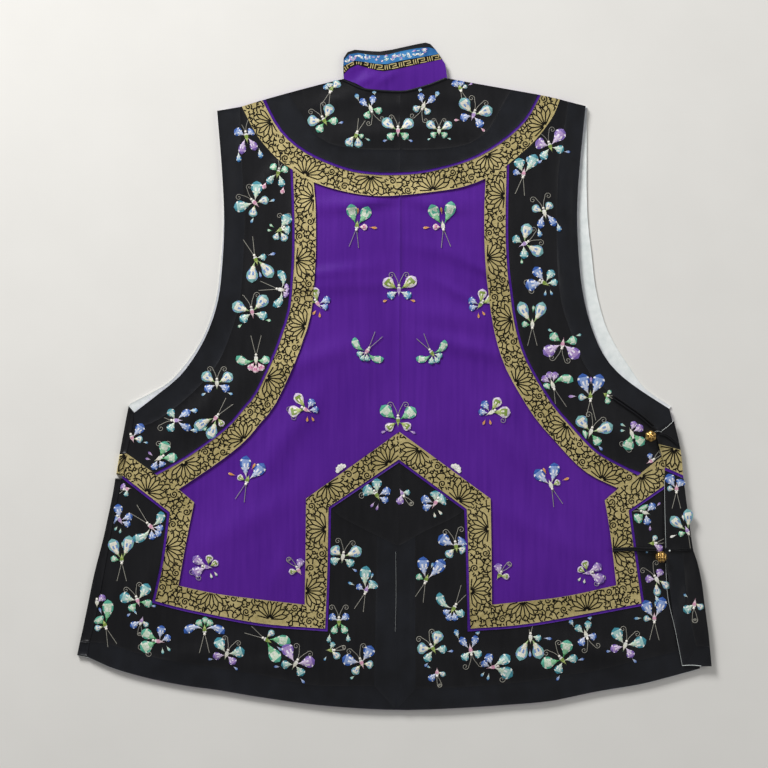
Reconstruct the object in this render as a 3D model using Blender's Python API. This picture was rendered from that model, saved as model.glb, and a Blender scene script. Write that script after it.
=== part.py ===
"""A sleeveless court waistcoat of silk, laid flat on its front and seen from the back.

The front lies on the surface. The back lies on it: a purple silk ground in two halves, with
black satin borders, gold woven ribbon and purple piping sewn on in a second layer. The front's
side edges turn over onto the back, and two ball buttons close the wearer's right side.
World: +Y towards the collar, +X towards the wearer's right, z = 0 on the surface.
Lengths in the tables are millimetres. Every piece keeps GAP to the pieces round it.
"""

import math
from collections import namedtuple

import bmesh
import bpy
from mathutils import Vector

MM = 0.001

# Driving dimensions, in millimetres.
GAP = 0.3  # between two pieces at a seam, and between two layers
FRONT_WALL = 1.2
GROUND_WALL = 1.2
BORDER_WALL = 1.0
WRAP_WALL = 1.2
PIPING_WIDTH = 2.8
PIPING_RISE = 0.6  # how far a piping stands above the borders
RIBBON_WIDTH = 22.4
LINING_UNDER = 12.0  # how far the front's armhole edge reaches under the back
BUTTON_DIAMETER = 12.4
CORD_WIDTH = 4.6  # two cords side by side
CORD_RISE = 2.2
LOOP_WIDTH = 2.6
FOLD_RAMP = 1.5  # where the turned front edge goes down past the back's edge
SAMPLE = 14.0  # the longest straight step along a curved edge
CELL = 40.0  # the grid on which all layers are creased alike
SAME_POINT = 0.4  # points of an outline nearer than this are one
WELD = 0.05  # points of a mesh nearer than this are one
SHARPEST = 0.25  # how far a mitred corner may reach: the cosine of half its turn

# Heights of the layers, from the surface up.
GROUND_LOW = FRONT_WALL + GAP
BORDER_LOW = GROUND_LOW + GROUND_WALL + GAP
BORDER_TOP = BORDER_LOW + BORDER_WALL
WRAP_LOW = BORDER_TOP + PIPING_RISE + GAP  # the wrap and the button strips cross a piping
WRAP_TOP = WRAP_LOW + WRAP_WALL
LOOP_LOW = WRAP_TOP + GAP

# Soft swells of the back over the front: middle, direction, half sizes and height.
Swell = namedtuple("Swell", "x y angle half_length half_width height")
SWELLS = (
    Swell(-65, 50, 82, 150, 55, 2.0),
    Swell(78, 40, 98, 150, 55, 1.8),
    Swell(-150, -180, 25, 90, 55, 1.4),
    Swell(165, -185, -25, 95, 55, 1.6),
    Swell(5, 150, 0, 80, 45, 0.9),
    Swell(-45, -275, 88, 60, 40, 1.2),
    Swell(60, -285, 92, 60, 40, 1.0),
    Swell(0, 325, 0, 40, 30, 1.6),
)


def swell_at(x, y):
    """The smooth height of the swells at one point."""
    total = 0.0
    for s in SWELLS:
        turn = math.radians(s.angle)
        along = (x - s.x) * math.cos(turn) + (y - s.y) * math.sin(turn)
        across = (y - s.y) * math.cos(turn) - (x - s.x) * math.sin(turn)
        total += s.height * math.exp(-((along / s.half_length) ** 2) - (across / s.half_width) ** 2)
    return total


def loft(x, y):
    """The swells, creased along the lines of the grid, so that stacked layers stay parallel."""
    column, row = math.floor(x / CELL), math.floor(y / CELL)
    right, up = x / CELL - column, y / CELL - row
    low_right = swell_at((column + 1) * CELL, row * CELL)
    high_left = swell_at(column * CELL, (row + 1) * CELL)
    if right + up <= 1:
        corner = swell_at(column * CELL, row * CELL)
        return corner + right * (low_right - corner) + up * (high_left - corner)
    corner = swell_at((column + 1) * CELL, (row + 1) * CELL)
    return corner + (1 - right) * (high_left - corner) + (1 - up) * (low_right - corner)


class Path:
    """A smooth line through a table's points. A named point is a place where pieces meet, and
    at a place whose name starts with "corner" the line bends sharply."""

    def __init__(self, rows):
        spots = [Vector(row[:2]) for row in rows]
        names = [row[2] if len(row) > 2 else "" for row in rows]
        self.points = [spots[0]]
        self.places = {names[0]: 0} if names[0] else {}
        for i in range(len(spots) - 1):
            start, end = spots[i], spots[i + 1]
            sharp_start = i == 0 or names[i].startswith("corner")
            sharp_end = i + 2 == len(spots) or names[i + 1].startswith("corner")
            before = 2 * start - end if sharp_start else spots[i - 1]
            after = 2 * end - start if sharp_end else spots[i + 2]
            steps = max(1, math.ceil((end - start).length / SAMPLE))
            for k in range(1, steps + 1):
                self.points.append(on_curve(before, start, end, after, k / steps))
            if names[i + 1]:
                self.places[names[i + 1]] = len(self.points) - 1

    def part(self, start, end):
        """The points from one place to another, in either direction."""
        a, b = self.places[start], self.places[end]
        return self.points[a : b + 1] if a <= b else self.points[b : a + 1][::-1]

    def beside(self, distance):
        """The same line moved to its left by a distance, with its places."""
        moved = Path.__new__(Path)
        moved.places = dict(self.places)
        moved.points = moved_left(self.points, distance, closed=False)
        return moved


def on_curve(before, start, end, after, t):
    """A point on the Catmull-Rom curve from start to end."""
    return 0.5 * (
        2 * start
        + (end - before) * t
        + (2 * before - 5 * start + 4 * end - after) * t * t
        + (3 * start - before - 3 * end + after) * t**3
    )


def moved_left(points, distance, closed):
    """Points moved to the left of their line, with mitred corners."""
    moved = []
    count = len(points)
    for i, here in enumerate(points):
        last = points[i - 1] if closed or i > 0 else None
        following = points[(i + 1) % count] if closed or i + 1 < count else None
        sides = []
        if last is not None:
            sides.append((here - last).normalized())
        if following is not None:
            sides.append((following - here).normalized())
        normals = [Vector((-side.y, side.x)) for side in sides]
        middle = sum(normals, Vector((0, 0))).normalized()
        moved.append(here + middle * (distance / max(middle.dot(normals[0]), SHARPEST)))
    return moved


def ending_at(points, first, last, clear=8.0):
    """A line with new end points, and without its old points nearer to them than clear."""
    inner = [p for p in points if (p - first).length > clear and (p - last).length > clear]
    return [first] + inner + [last]


def joined(*stretches):
    """One closed outline from stretches that meet end to end."""
    outline = []
    for point in (p for stretch in stretches for p in stretch):
        if not outline or (point - outline[-1]).length > SAME_POINT:
            outline.append(point)
    if (outline[0] - outline[-1]).length < SAME_POINT:
        outline.pop()
    return outline


def area(outline):
    """Twice the signed area, which is positive for an anticlockwise outline."""
    return sum(a.x * b.y - b.x * a.y for a, b in zip(outline, outline[1:] + outline[:1]))


def strip(points, width):
    """The outline of a straight-ended strip along a line."""
    return moved_left(points, width / 2, False) + moved_left(points, -width / 2, False)[::-1]


# The edges and seams of the back, as it lies. Left is the wearer's left.
NECK = Path([
    (-53, 312.5, "left"), (-41, 308), (-30, 302), (-13, 299.5), (6.5, 298.5, "centre"),
    (20, 301), (37, 305.5), (48, 310), (55.5, 313, "right"),
])
SHOULDER_LEFT = Path([
    (-53, 312.5, "neck"), (-78, 306.5), (-112, 297.5, "yoke seam"), (-135, 291, "piping"),
    (-138.5, 290, "ribbon top"), (-160, 283.5, "ribbon foot"), (-162, 283, "band seam"),
    (-174, 281, "lining"), (-186, 279, "armhole"),
])
SHOULDER_RIGHT = Path([
    (55.5, 313, "neck"), (86, 307.5), (123, 301, "yoke seam"), (151, 296, "piping"),
    (154, 295.5, "ribbon top"), (174, 291, "ribbon foot"), (183, 288.5, "band seam"),
    (189, 287, "lining"), (201, 284, "armhole"),
])
ARMHOLE_LEFT = Path([
    (-186, 279, "shoulder"), (-181, 218), (-178.5, 162), (-181, 112), (-185, 80), (-194, 51),
    (-207, 25), (-225, 0.5), (-246, -17), (-273, -38, "side"),
])
ARMHOLE_RIGHT = Path([
    (201, 284, "shoulder"), (194.5, 218), (192, 173), (193.5, 129), (197.5, 91),
    (206, 55, "closing"), (219, 24), (235, 4), (258, -14), (289, -34, "side"),
])
BAND_SEAM_LEFT = Path([
    (-162, 283, "shoulder"), (-159, 206), (-157, 162), (-159, 112), (-162.5, 77), (-171, 47),
    (-184.5, 15), (-205, -10.5), (-234, -36), (-255, -49), (-274.5, -54, "side"),
])
BAND_SEAM_RIGHT = Path([
    (183, 288.5, "shoulder"), (173.5, 227), (171, 173), (171, 121), (175, 80), (182.5, 55),
    (193, 27), (206, 2.5), (230, -20.5), (258, -43.5), (276, -56), (294.5, -67, "side"),
])
YOKE_SEAM = Path([
    (-112, 297.5, "left"), (-99, 278.5), (-90, 262), (-79.5, 251.5), (-69, 245), (-54, 241),
    (-32, 238.5), (6, 238, "centre"), (43, 238.5), (65, 241), (80, 245), (90.5, 251.5),
    (101, 262), (110, 278.5), (123, 301, "right"),
])
YOKE_RIBBON_TOP = Path([
    (-138.5, 290, "left"), (-120, 257.5), (-93, 234.5), (-54, 217.5), (-24, 212),
    (6, 211.5, "centre"), (36, 214.5), (78, 226), (111, 244), (138, 268), (154, 295.5, "right"),
])
YOKE_RIBBON_FOOT = Path([
    (-160, 283.5, "left"), (-144, 253), (-123, 229), (-109.3, 218.8, "piping left"),
    (-106.5, 217, "outer left"), (-84.5, 204, "inner left"), (-54, 194.5), (-24, 189.5),
    (6, 190), (51, 195), (73.5, 199.5), (96, 208, "inner right"), (118, 221.5, "outer right"),
    (120.8, 223.8, "piping right"), (141, 241), (156, 257.5), (168, 275.5), (174, 291, "right"),
])
ARMHOLE_RIBBON_LEFT = Path([
    (-106.5, 217, "yoke"), (-105, 181), (-104.5, 143), (-105.5, 112), (-109.5, 69), (-117, 45),
    (-124.5, 24), (-143.5, -16.5), (-156.5, -33), (-177, -56), (-216, -84.5),
    (-249, -103.5, "side"),
])
ARMHOLE_RIBBON_RIGHT = Path([
    (118, 221.5, "yoke"), (117, 180), (117, 143), (118.5, 112), (121, 91), (125.5, 58.5),
    (133, 29), (144, 5), (165, -29), (182.5, -49.5), (207, -76), (224.5, -88),
    (256, -104, "side"),
])
HEM_RIBBON_TOP_LEFT = Path([
    (-280.5, -81, "side"), (-252, -101.5, "piping"), (-249, -103.5, "outer"),
    (-226.5, -118.5, "inner"), (-210, -132, "corner side"), (-218, -172),
    (-226.5, -219.5, "corner hem"), (-186, -228), (-141, -234), (-94, -239.5, "corner vent"),
    (-93, -182), (-92.5, -128, "corner gore"), (5.5, -58, "centre"),
])
HEM_RIBBON_FOOT_LEFT = Path([
    (-285, -104, "side"), (-235.5, -142.5, "corner side"), (-241.5, -191),
    (-251, -235.5, "corner hem"), (-216, -244.5), (-141, -259), (-72.5, -264.5, "corner vent"),
    (-70, -198), (-69, -137, "corner gore"), (5, -87, "centre"),
])
HEM_RIBBON_TOP_RIGHT = Path([
    (295, -74, "side"), (276.5, -87.5), (259.5, -101, "piping"), (256, -104, "outer"),
    (235.5, -117.5, "inner"), (221, -130, "corner side"), (226.5, -163),
    (233, -219, "corner hem"), (174, -231.5), (102.5, -239.5, "corner vent"), (102, -182),
    (101, -128, "corner gore"), (5.5, -58, "centre"),
])
HEM_RIBBON_FOOT_RIGHT = Path([
    (297, -105.5, "side"), (282, -115.5), (246, -140.5, "corner side"), (250.5, -174.5),
    (259.5, -238, "corner hem"), (144.5, -259), (79.5, -264.5, "corner vent"), (78, -198),
    (76, -139, "corner gore"), (5, -87, "centre"),
])
CENTRE_SEAM = Path([
    (6.5, 298.5, "neck"), (6, 238, "yoke seam"), (6, 180), (6, 120), (5.5, 60), (5.5, 0),
    (5.5, -50), (5, -90.5, "gore"), (4.5, -134), (4, -178, "vent"), (2, -189), (2, -240),
    (2, -295), (2, -350, "hem"),
])
GORE_SEAM_LEFT = Path([
    (-57, -147, "first"), (-34, -159), (-18, -167, "band"), (4, -178, "centre"),
])
GORE_SEAM_RIGHT = Path([
    (58.5, -150, "first"), (28.5, -164), (22, -168, "band"), (4, -178, "centre"),
])
VENT_SEAM_LEFT = Path([(-18, -167, "top"), (-19.5, -245), (-21, -324.5, "hem")])
VENT_SEAM_RIGHT = Path([(22, -168, "top"), (22, -245), (22.5, -327.5, "hem")])
HEM_SEAM_LEFT = Path([
    (-319.5, -279, "side"), (-301.5, -280.5), (-276, -288.5), (-246, -296), (-216, -301),
    (-163, -309.5), (-141, -313), (-99, -322), (-74, -324.5), (-21, -324.5, "vent"),
])
HEM_SEAM_RIGHT = Path([
    (318, -282, "side"), (291, -290), (265, -296), (243, -301), (209, -309.5), (183, -313),
    (153, -318.5), (111, -323), (51, -327), (22.5, -327.5, "vent"),
])
HEM = Path([
    (-321.5, -294.5, "left"), (-298, -305), (-276, -312), (-246, -319.5), (-216, -325),
    (-186, -329), (-141, -336.5), (-78, -345), (2, -350, "centre"), (76, -347.5), (153, -342),
    (178, -338), (206, -332), (228, -328), (258, -323), (288, -315.5), (321, -306.5, "right"),
])

# The left side, where the front's edge is folded up beside the back.
SIDE_SEAM = Path([
    (-273, -38, "armhole"), (-274.5, -54, "band seam"), (-280.5, -81, "ribbon top"),
    (-285, -104, "ribbon foot"), (-285.5, -107, "piping"), (-292, -139), (-298, -172),
    (-306, -217), (-313.5, -256), (-319.5, -279, "hem band"), (-321.5, -294.5, "hem"),
])
LEFT_FOLD = Path([
    (-279, -31, "armhole"), (-283, -52), (-288.5, -82, "ribbon top"), (-292, -103, "ribbon foot"),
    (-293, -107, "piping"), (-295.5, -123), (-302, -154), (-306, -172), (-315, -207),
    (-321, -236), (-327, -265), (-330, -278, "hem band"), (-333, -292.5, "hem"),
])

# The right side, where the front wraps round onto the back. The back's own edge is hidden.
BACK_EDGE = Path([
    (289, -34, "armhole"), (292, -47), (294.5, -67, "corner band"), (295, -74, "corner ribbon"),
    (297, -105.5, "corner foot"), (297.4, -109, "corner piping"), (318, -282, "corner hem band"),
    (321, -306.5, "hem"),
])
RIGHT_FOLD = Path([
    (291, -32, "armhole"), (293.5, -46.5, "top"), (300.5, -77, "ribbon top"),
    (303, -103.5, "ribbon foot"), (303.5, -107, "piping"), (307.5, -139), (310.5, -161),
    (313.5, -182), (318, -195), (322.5, -215), (325.5, -238), (329.5, -268),
    (331, -283, "hem band"), (333, -304, "hem"),
])
WRAP_EDGE = Path([
    (277, -57, "top"), (275.5, -63), (277, -70.5, "ribbon top"), (284, -95, "corner ribbon foot"),
    (283.7, -98.5, "corner piping"), (283, -139), (283.5, -181, "band top"), (288, -215),
    (292.5, -252.5), (297, -277), (303, -304, "hem"),
])
WRAP_BAND_SEAM = Path([(302.5, -181, "top"), (305, -215), (310, -252.5), (316.5, -283, "hem")])

# The front, under the back.
FRONT_NECK = Path([
    (-53, 312.5, "left"), (-44, 285), (-23, 265), (2, 259, "centre"), (27, 265), (47, 285),
    (55.5, 313, "right"),
])
CLOSING_EDGE = Path([
    (2, 259, "neck"), (45, 212), (98, 172), (145, 120), (170, 75), (195, 50, "armhole"),
])
LINING_LEFT = Path([
    (-185.5, 278, "shoulder"), (-180.5, 218), (-179.3, 162), (-183, 112), (-187.5, 79.5),
    (-196.5, 51), (-210, 25.5), (-233, -3), (-252, -15.5), (-277.5, -28.5, "side"),
])
LINING_RIGHT = Path([
    (202.5, 283.5, "shoulder"), (202.3, 196), (204, 158), (207.5, 128.5), (211.5, 94),
    (221, 57), (233.5, 31), (247, 10.5), (264, -13), (291, -31.5, "side"),
])

# The stand collar, pressed flat.
COLLAR_EDGE = Path([
    (55.5, 313, "foot right"), (53.5, 328), (50.3, 333, "fret right"), (46.6, 338.5, "blue right"),
    (43.2, 343.5, "binding right"), (38, 349), (33, 350.5), (15.5, 347), (-2, 343), (-15, 341),
    (-30, 342), (-41.5, 343), (-49, 340.5), (-53, 334.5), (-53.2, 332, "binding left"),
    (-53.4, 326, "blue left"), (-53.3, 317, "fret left"), (-53, 312.5, "foot left"),
])
FRET_LINE = Path([
    (-53.3, 317, "left"), (-46.5, 323.5), (-38.5, 327), (-25.5, 323), (-11.5, 320), (6.5, 323),
    (28.5, 328), (50.3, 333, "right"),
])
BLUE_LINE = Path([
    (-53.4, 326, "left"), (-41.5, 331.5), (-31, 330), (-18.5, 328), (-8, 327.5), (8.5, 331.5),
    (28.5, 335), (46.6, 338.5, "right"),
])
BINDING_LINE = Path([
    (-53.2, 332, "left"), (-47.5, 338.2), (-38, 339.6), (-25.5, 337.5), (-10, 337), (6.5, 341),
    (24, 344.5), (36, 345.6), (43.2, 343.5, "right"),
])
COLLAR_FRONT_TOP = Path([
    (55.5, 313, "right"), (48, 324), (38, 322), (22, 307), (2, 301), (-20, 306), (-36, 320),
    (-46, 322), (-53, 312.5, "left"),
])

# The fastenings at the right side.
BUTTON_STRIP_UPPER = Path([(230, -21.5, "end"), (258, -41), (271, -52, "button")])
BUTTON_STRIP_LOWER = Path([(229, -182, "end"), (253, -181), (274, -181.5, "button")])
LOOP_UPPER = Path([(277.5, -60, "button"), (288, -63.5), (297, -71, "end")])
LOOP_LOWER = Path([(285.5, -181.5, "button"), (311, -181.2, "end")])
BUTTONS = {"button_upper": (268.5, -62.5), "button_lower": (279.5, -189)}

# Finishes: display colour (sRGB, 0 to 255), roughness, metallic.
Finish = namedtuple("Finish", "red green blue roughness metallic")
FINISHES = {
    "purple_silk": Finish(90, 35, 150, 0.5, 0.0),
    "black_satin": Finish(34, 34, 38, 0.45, 0.0),
    "plain_black_satin": Finish(28, 31, 37, 0.4, 0.0),
    "gold_ribbon": Finish(150, 135, 85, 0.5, 0.0),
    "purple_piping": Finish(80, 30, 130, 0.5, 0.0),
    "cotton_lining": Finish(222, 230, 230, 0.8, 0.0),
    "blue_ribbon": Finish(70, 110, 170, 0.5, 0.0),
    "black_cord": Finish(24, 24, 28, 0.6, 0.0),
    "brass": Finish(200, 150, 70, 0.3, 1.0),
}


def finish(name):
    """The named material, made the first time that it is asked for."""
    if name in bpy.data.materials:
        return bpy.data.materials[name]
    colour = FINISHES[name]
    made = bpy.data.materials.new(name)
    made.use_nodes = True
    shader = made.node_tree.nodes["Principled BSDF"]
    linear = [(channel / 255) ** 2.2 for channel in colour[:3]]
    shader.inputs["Base Color"].default_value = (*linear, 1)
    shader.inputs["Roughness"].default_value = colour.roughness
    shader.inputs["Metallic"].default_value = colour.metallic
    return made


def filled(outline):
    """A flat mesh of one face inside an outline, filled by a 2D curve."""
    curve = bpy.data.curves.new("outline", "CURVE")
    curve.dimensions = "2D"
    curve.fill_mode = "BOTH"
    spline = curve.splines.new("POLY")
    spline.points.add(len(outline) - 1)
    for spot, place in zip(spline.points, outline):
        spot.co = (place.x * MM, place.y * MM, 0, 1)
    spline.use_cyclic_u = True
    guide = bpy.data.objects.new("outline", curve)
    bpy.context.scene.collection.objects.link(guide)
    depsgraph = bpy.context.evaluated_depsgraph_get()
    mesh = bpy.data.meshes.new_from_object(guide.evaluated_get(depsgraph))
    bpy.data.objects.remove(guide)
    shape = bmesh.new()
    shape.from_mesh(mesh)
    bpy.data.meshes.remove(mesh)
    bmesh.ops.remove_doubles(shape, verts=shape.verts, dist=WELD * MM)
    bmesh.ops.dissolve_faces(shape, faces=shape.faces)
    return shape


def cut_by(shape, point, normal):
    """Cuts a flat mesh along one upright plane."""
    bmesh.ops.bisect_plane(
        shape,
        geom=shape.verts[:] + shape.edges[:] + shape.faces[:],
        dist=WELD * MM,
        plane_co=(point[0] * MM, point[1] * MM, 0),
        plane_no=(normal[0], normal[1], 0),
    )


def creased(shape):
    """Cuts a flat mesh along the lines of the grid that it crosses."""
    lines = (((1, 0), CELL), ((0, 1), CELL), ((1, 1), CELL))
    for normal, spacing in lines:
        along = [(v.co.x * normal[0] + v.co.y * normal[1]) / MM for v in shape.verts]
        first, last = math.ceil(min(along) / spacing), math.floor(max(along) / spacing)
        for k in range(first, last + 1):
            share = k * spacing / (normal[0] + normal[1])
            cut_by(shape, (share * normal[0], share * normal[1]), normal)


def cloth(name, outline, finish_name, low, high, cuts=(), level=False):
    """One flat piece of cloth, from its seam lines. low and high give its heights at a point."""
    anticlockwise = outline if area(outline) > 0 else outline[::-1]
    shape = filled(moved_left(anticlockwise, GAP / 2, closed=True))
    if not level:
        creased(shape)
    for point, normal in cuts:
        cut_by(shape, point, normal)
    bmesh.ops.triangulate(shape, faces=shape.faces)
    raised = bmesh.ops.extrude_face_region(shape, geom=shape.faces[:])
    top = {v for v in raised["geom"] if isinstance(v, bmesh.types.BMVert)}
    for vertex in shape.verts:
        height = high if vertex in top else low
        vertex.co.z = height(vertex.co.x / MM, vertex.co.y / MM) * MM
    bmesh.ops.recalc_face_normals(shape, faces=shape.faces)
    return put(name, shape, finish_name)


def put(name, shape, finish_name):
    """Adds a mesh to the garment's collection as one named piece."""
    mesh = bpy.data.meshes.new(name)
    shape.to_mesh(mesh)
    shape.free()
    mesh.materials.append(finish(finish_name))
    piece = bpy.data.objects.new(name, mesh)
    bpy.data.collections["waistcoat"].objects.link(piece)
    return piece


def flat(height):
    """The same height everywhere."""
    return lambda x, y: height


def lofted(height):
    """A height above the surface, plus the swells of the back."""
    return lambda x, y: height + loft(x, y)


def on_front(name, outline, finish_name="purple_silk"):
    return cloth(name, outline, finish_name, flat(0), flat(FRONT_WALL), level=True)


def on_ground(name, outline, finish_name, rise=0.0):
    """A border, band, ribbon or piping sewn on the back's ground."""
    return cloth(name, outline, finish_name, lofted(BORDER_LOW), lofted(BORDER_TOP + rise))


def front_panels():
    """The wearer's left front, which crosses to the right, and the small right front."""
    inner_left = ending_at(
        ARMHOLE_LEFT.beside(LINING_UNDER).points,
        SHOULDER_LEFT.part("lining", "lining")[0],
        ARMHOLE_LEFT.beside(LINING_UNDER).points[-1],
    )
    right = ARMHOLE_RIGHT.beside(-LINING_UNDER)
    shoulder_right = SHOULDER_RIGHT.part("lining", "lining")[0]
    closing_spot = right.part("closing", "closing")[0]
    inner_right_high = ending_at(right.part("shoulder", "closing"), shoulder_right, closing_spot)
    inner_right_low = right.part("closing", "side")
    closing = ending_at(CLOSING_EDGE.points, CLOSING_EDGE.points[0], closing_spot)
    on_front("front_overlap", joined(
        FRONT_NECK.part("centre", "left"), SHOULDER_LEFT.part("neck", "lining"), inner_left,
        SIDE_SEAM.part("armhole", "hem"), HEM.part("left", "right"),
        BACK_EDGE.part("hem", "armhole"), inner_right_low[::-1], closing[::-1],
    ))
    on_front("front_underlap", joined(
        FRONT_NECK.part("centre", "right"), SHOULDER_RIGHT.part("neck", "lining"),
        inner_right_high, closing[::-1],
    ))
    on_front("front_lining_left", joined(
        LINING_LEFT.part("shoulder", "side"), LEFT_FOLD.part("armhole", "armhole"),
        SIDE_SEAM.part("armhole", "armhole"), inner_left[::-1],
    ), "cotton_lining")
    on_front("front_lining_right", joined(
        LINING_RIGHT.part("shoulder", "side"), BACK_EDGE.part("armhole", "armhole"),
        inner_right_low[::-1], inner_right_high[::-1],
    ), "cotton_lining")
    on_front("collar_front", joined(
        FRONT_NECK.part("left", "right"), COLLAR_FRONT_TOP.part("right", "left"),
    ))


def back_ground():
    """The purple silk under everything that is sewn on, in two halves with a centre seam."""
    low, high = lofted(GROUND_LOW), lofted(GROUND_LOW + GROUND_WALL)
    centre = CENTRE_SEAM.part("neck", "hem")
    cloth("back_ground_left", joined(
        centre, HEM.part("centre", "left"), SIDE_SEAM.part("hem", "armhole"),
        ARMHOLE_LEFT.part("side", "shoulder"), SHOULDER_LEFT.part("armhole", "neck"),
        NECK.part("left", "centre"),
    ), "purple_silk", low, high)
    cloth("back_ground_right", joined(
        centre, HEM.part("centre", "right"), BACK_EDGE.part("hem", "armhole"),
        ARMHOLE_RIGHT.part("side", "shoulder"), SHOULDER_RIGHT.part("armhole", "neck"),
        NECK.part("right", "centre"),
    ), "purple_silk", low, high)


def yoke():
    """The round yoke: embroidered satin, a plain satin band, a piping and the gold ribbon."""
    piping_edge = YOKE_RIBBON_TOP.beside(PIPING_WIDTH)
    spots = {
        "left": SHOULDER_LEFT.part("piping", "piping")[0],
        "right": SHOULDER_RIGHT.part("piping", "piping")[0],
    }
    sides = {"left": SHOULDER_LEFT, "right": SHOULDER_RIGHT}
    for side, shoulder in sides.items():
        on_ground(f"yoke_border_{side}", joined(
            NECK.part(side, "centre"), CENTRE_SEAM.part("neck", "yoke seam"),
            YOKE_SEAM.part("centre", side), shoulder.part("yoke seam", "neck"),
        ), "black_satin")
        foot = piping_edge.part("centre", side)
        on_ground(f"yoke_band_{side}", joined(
            YOKE_SEAM.part(side, "centre"), ending_at(foot, foot[0], spots[side]),
            shoulder.part("piping", "yoke seam"),
        ), "plain_black_satin")
    edge = ending_at(piping_edge.points, spots["left"], spots["right"])
    on_ground("yoke_piping", joined(
        edge, YOKE_RIBBON_TOP.part("right", "left"),
    ), "purple_piping", PIPING_RISE)
    on_ground("yoke_ribbon", joined(
        YOKE_RIBBON_TOP.part("left", "right"), SHOULDER_RIGHT.part("ribbon top", "ribbon foot"),
        YOKE_RIBBON_FOOT.part("right", "left"), SHOULDER_LEFT.part("ribbon foot", "ribbon top"),
    ), "gold_ribbon")


def armhole_trims():
    """Round each armhole: a plain band, an embroidered border, a piping and the gold ribbon."""
    # Sides: outer side's sign, ribbon's outer edge, hem ribbon's top, seam, armhole, shoulder.
    table = (
        (
            "left", -1, ARMHOLE_RIBBON_LEFT, HEM_RIBBON_TOP_LEFT,
            BAND_SEAM_LEFT, ARMHOLE_LEFT, SHOULDER_LEFT,
        ),
        (
            "right", 1, ARMHOLE_RIBBON_RIGHT, HEM_RIBBON_TOP_RIGHT,
            BAND_SEAM_RIGHT, ARMHOLE_RIGHT, SHOULDER_RIGHT,
        ),
    )
    for side, sign, outer, hem_ribbon, seam, armhole, shoulder in table:
        yoke_spot = {
            name: YOKE_RIBBON_FOOT.part(f"{name} {side}", f"{name} {side}")[0]
            for name in ("piping", "outer", "inner")
        }
        foot_spot = {
            name: hem_ribbon.part(name, name)[0] for name in ("piping", "outer", "inner")
        }
        inner = outer.beside(-sign * RIBBON_WIDTH).points
        inner_edge = ending_at(inner, yoke_spot["inner"], foot_spot["inner"], clear=15.0)
        piped = outer.beside(sign * PIPING_WIDTH).points
        piping_edge = ending_at(piped, yoke_spot["piping"], foot_spot["piping"], clear=5.0)
        on_ground(f"armhole_ribbon_{side}", joined(
            outer.points, inner_edge[::-1],
            YOKE_RIBBON_FOOT.part(f"inner {side}", f"outer {side}"),
        ), "gold_ribbon")
        on_ground(f"armhole_piping_{side}", joined(
            outer.points, piping_edge[::-1],
        ), "purple_piping", PIPING_RISE)
        if side == "left":
            edge = SIDE_SEAM.part("band seam", "ribbon top")
            band_end = SIDE_SEAM.part("band seam", "armhole")
        else:
            edge = BACK_EDGE.part("corner band", "corner ribbon")
            band_end = BACK_EDGE.part("corner band", "armhole")
        on_ground(f"armhole_border_{side}", joined(
            seam.part("shoulder", "side"), edge, hem_ribbon.part("side", "piping"),
            piping_edge[::-1], YOKE_RIBBON_FOOT.part(f"piping {side}", side),
            shoulder.part("ribbon foot", "band seam"),
        ), "black_satin")
        on_ground(f"armhole_band_{side}", joined(
            seam.part("shoulder", "side"), band_end, armhole.part("side", "shoulder"),
            shoulder.part("armhole", "band seam"),
        ), "plain_black_satin")


def hem_trims():
    """The ribbon that turns round each lower panel, and the borders and bands below it."""
    # Sides: outer side's sign, ribbon's top and foot, gore seam, vent seam, hem seam.
    table = (
        (
            "left", -1, HEM_RIBBON_TOP_LEFT, HEM_RIBBON_FOOT_LEFT,
            GORE_SEAM_LEFT, VENT_SEAM_LEFT, HEM_SEAM_LEFT,
        ),
        (
            "right", 1, HEM_RIBBON_TOP_RIGHT, HEM_RIBBON_FOOT_RIGHT,
            GORE_SEAM_RIGHT, VENT_SEAM_RIGHT, HEM_SEAM_RIGHT,
        ),
    )
    for side, sign, top, foot, gore_seam, vent_seam, hem_seam in table:
        if side == "left":
            ribbon_end = SIDE_SEAM.part("ribbon foot", "ribbon top")
            piping_spot = SIDE_SEAM.part("piping", "piping")[0]
            border_end = SIDE_SEAM.part("hem band", "piping")
            band_end = SIDE_SEAM.part("hem", "hem band")
        else:
            ribbon_end = BACK_EDGE.part("corner foot", "corner ribbon")
            piping_spot = BACK_EDGE.part("corner piping", "corner piping")[0]
            border_end = BACK_EDGE.part("corner hem band", "corner piping")
            band_end = BACK_EDGE.part("hem", "corner hem band")
        centre_spot = CENTRE_SEAM.part("gore", "gore")[0]
        piped = foot.beside(sign * PIPING_WIDTH)
        piping_side = piped.part("side", "corner gore")
        piping_side = ending_at(piping_side, piping_spot, piping_side[-1], clear=4.0)
        piping_gore = piped.part("corner gore", "centre")
        piping_gore = ending_at(piping_gore, piping_gore[0], centre_spot, clear=4.0)
        on_ground(f"hem_ribbon_{side}", joined(
            foot.part("side", "centre"), top.part("centre", "side"),
        ), "gold_ribbon")
        on_ground(f"hem_piping_{side}", joined(
            foot.part("side", "centre"), piping_gore[::-1], piping_side[::-1],
        ), "purple_piping", PIPING_RISE)
        on_ground(f"gore_{side}", joined(
            piping_gore, CENTRE_SEAM.part("gore", "vent"), gore_seam.part("centre", "first"),
        ), "black_satin")
        on_ground(f"hem_border_{side}", joined(
            piping_side, gore_seam.part("first", "band"), vent_seam.part("top", "hem"),
            hem_seam.part("vent", "side"), border_end,
        ), "black_satin")
        on_ground(f"vent_band_{side}", joined(
            gore_seam.part("band", "centre"), CENTRE_SEAM.part("vent", "hem"),
            vent_seam.part("hem", "top"),
        ), "plain_black_satin")
        on_ground(f"hem_band_{side}", joined(
            hem_seam.part("side", "vent"), HEM.part("centre", side), band_end,
        ), "plain_black_satin")


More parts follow.
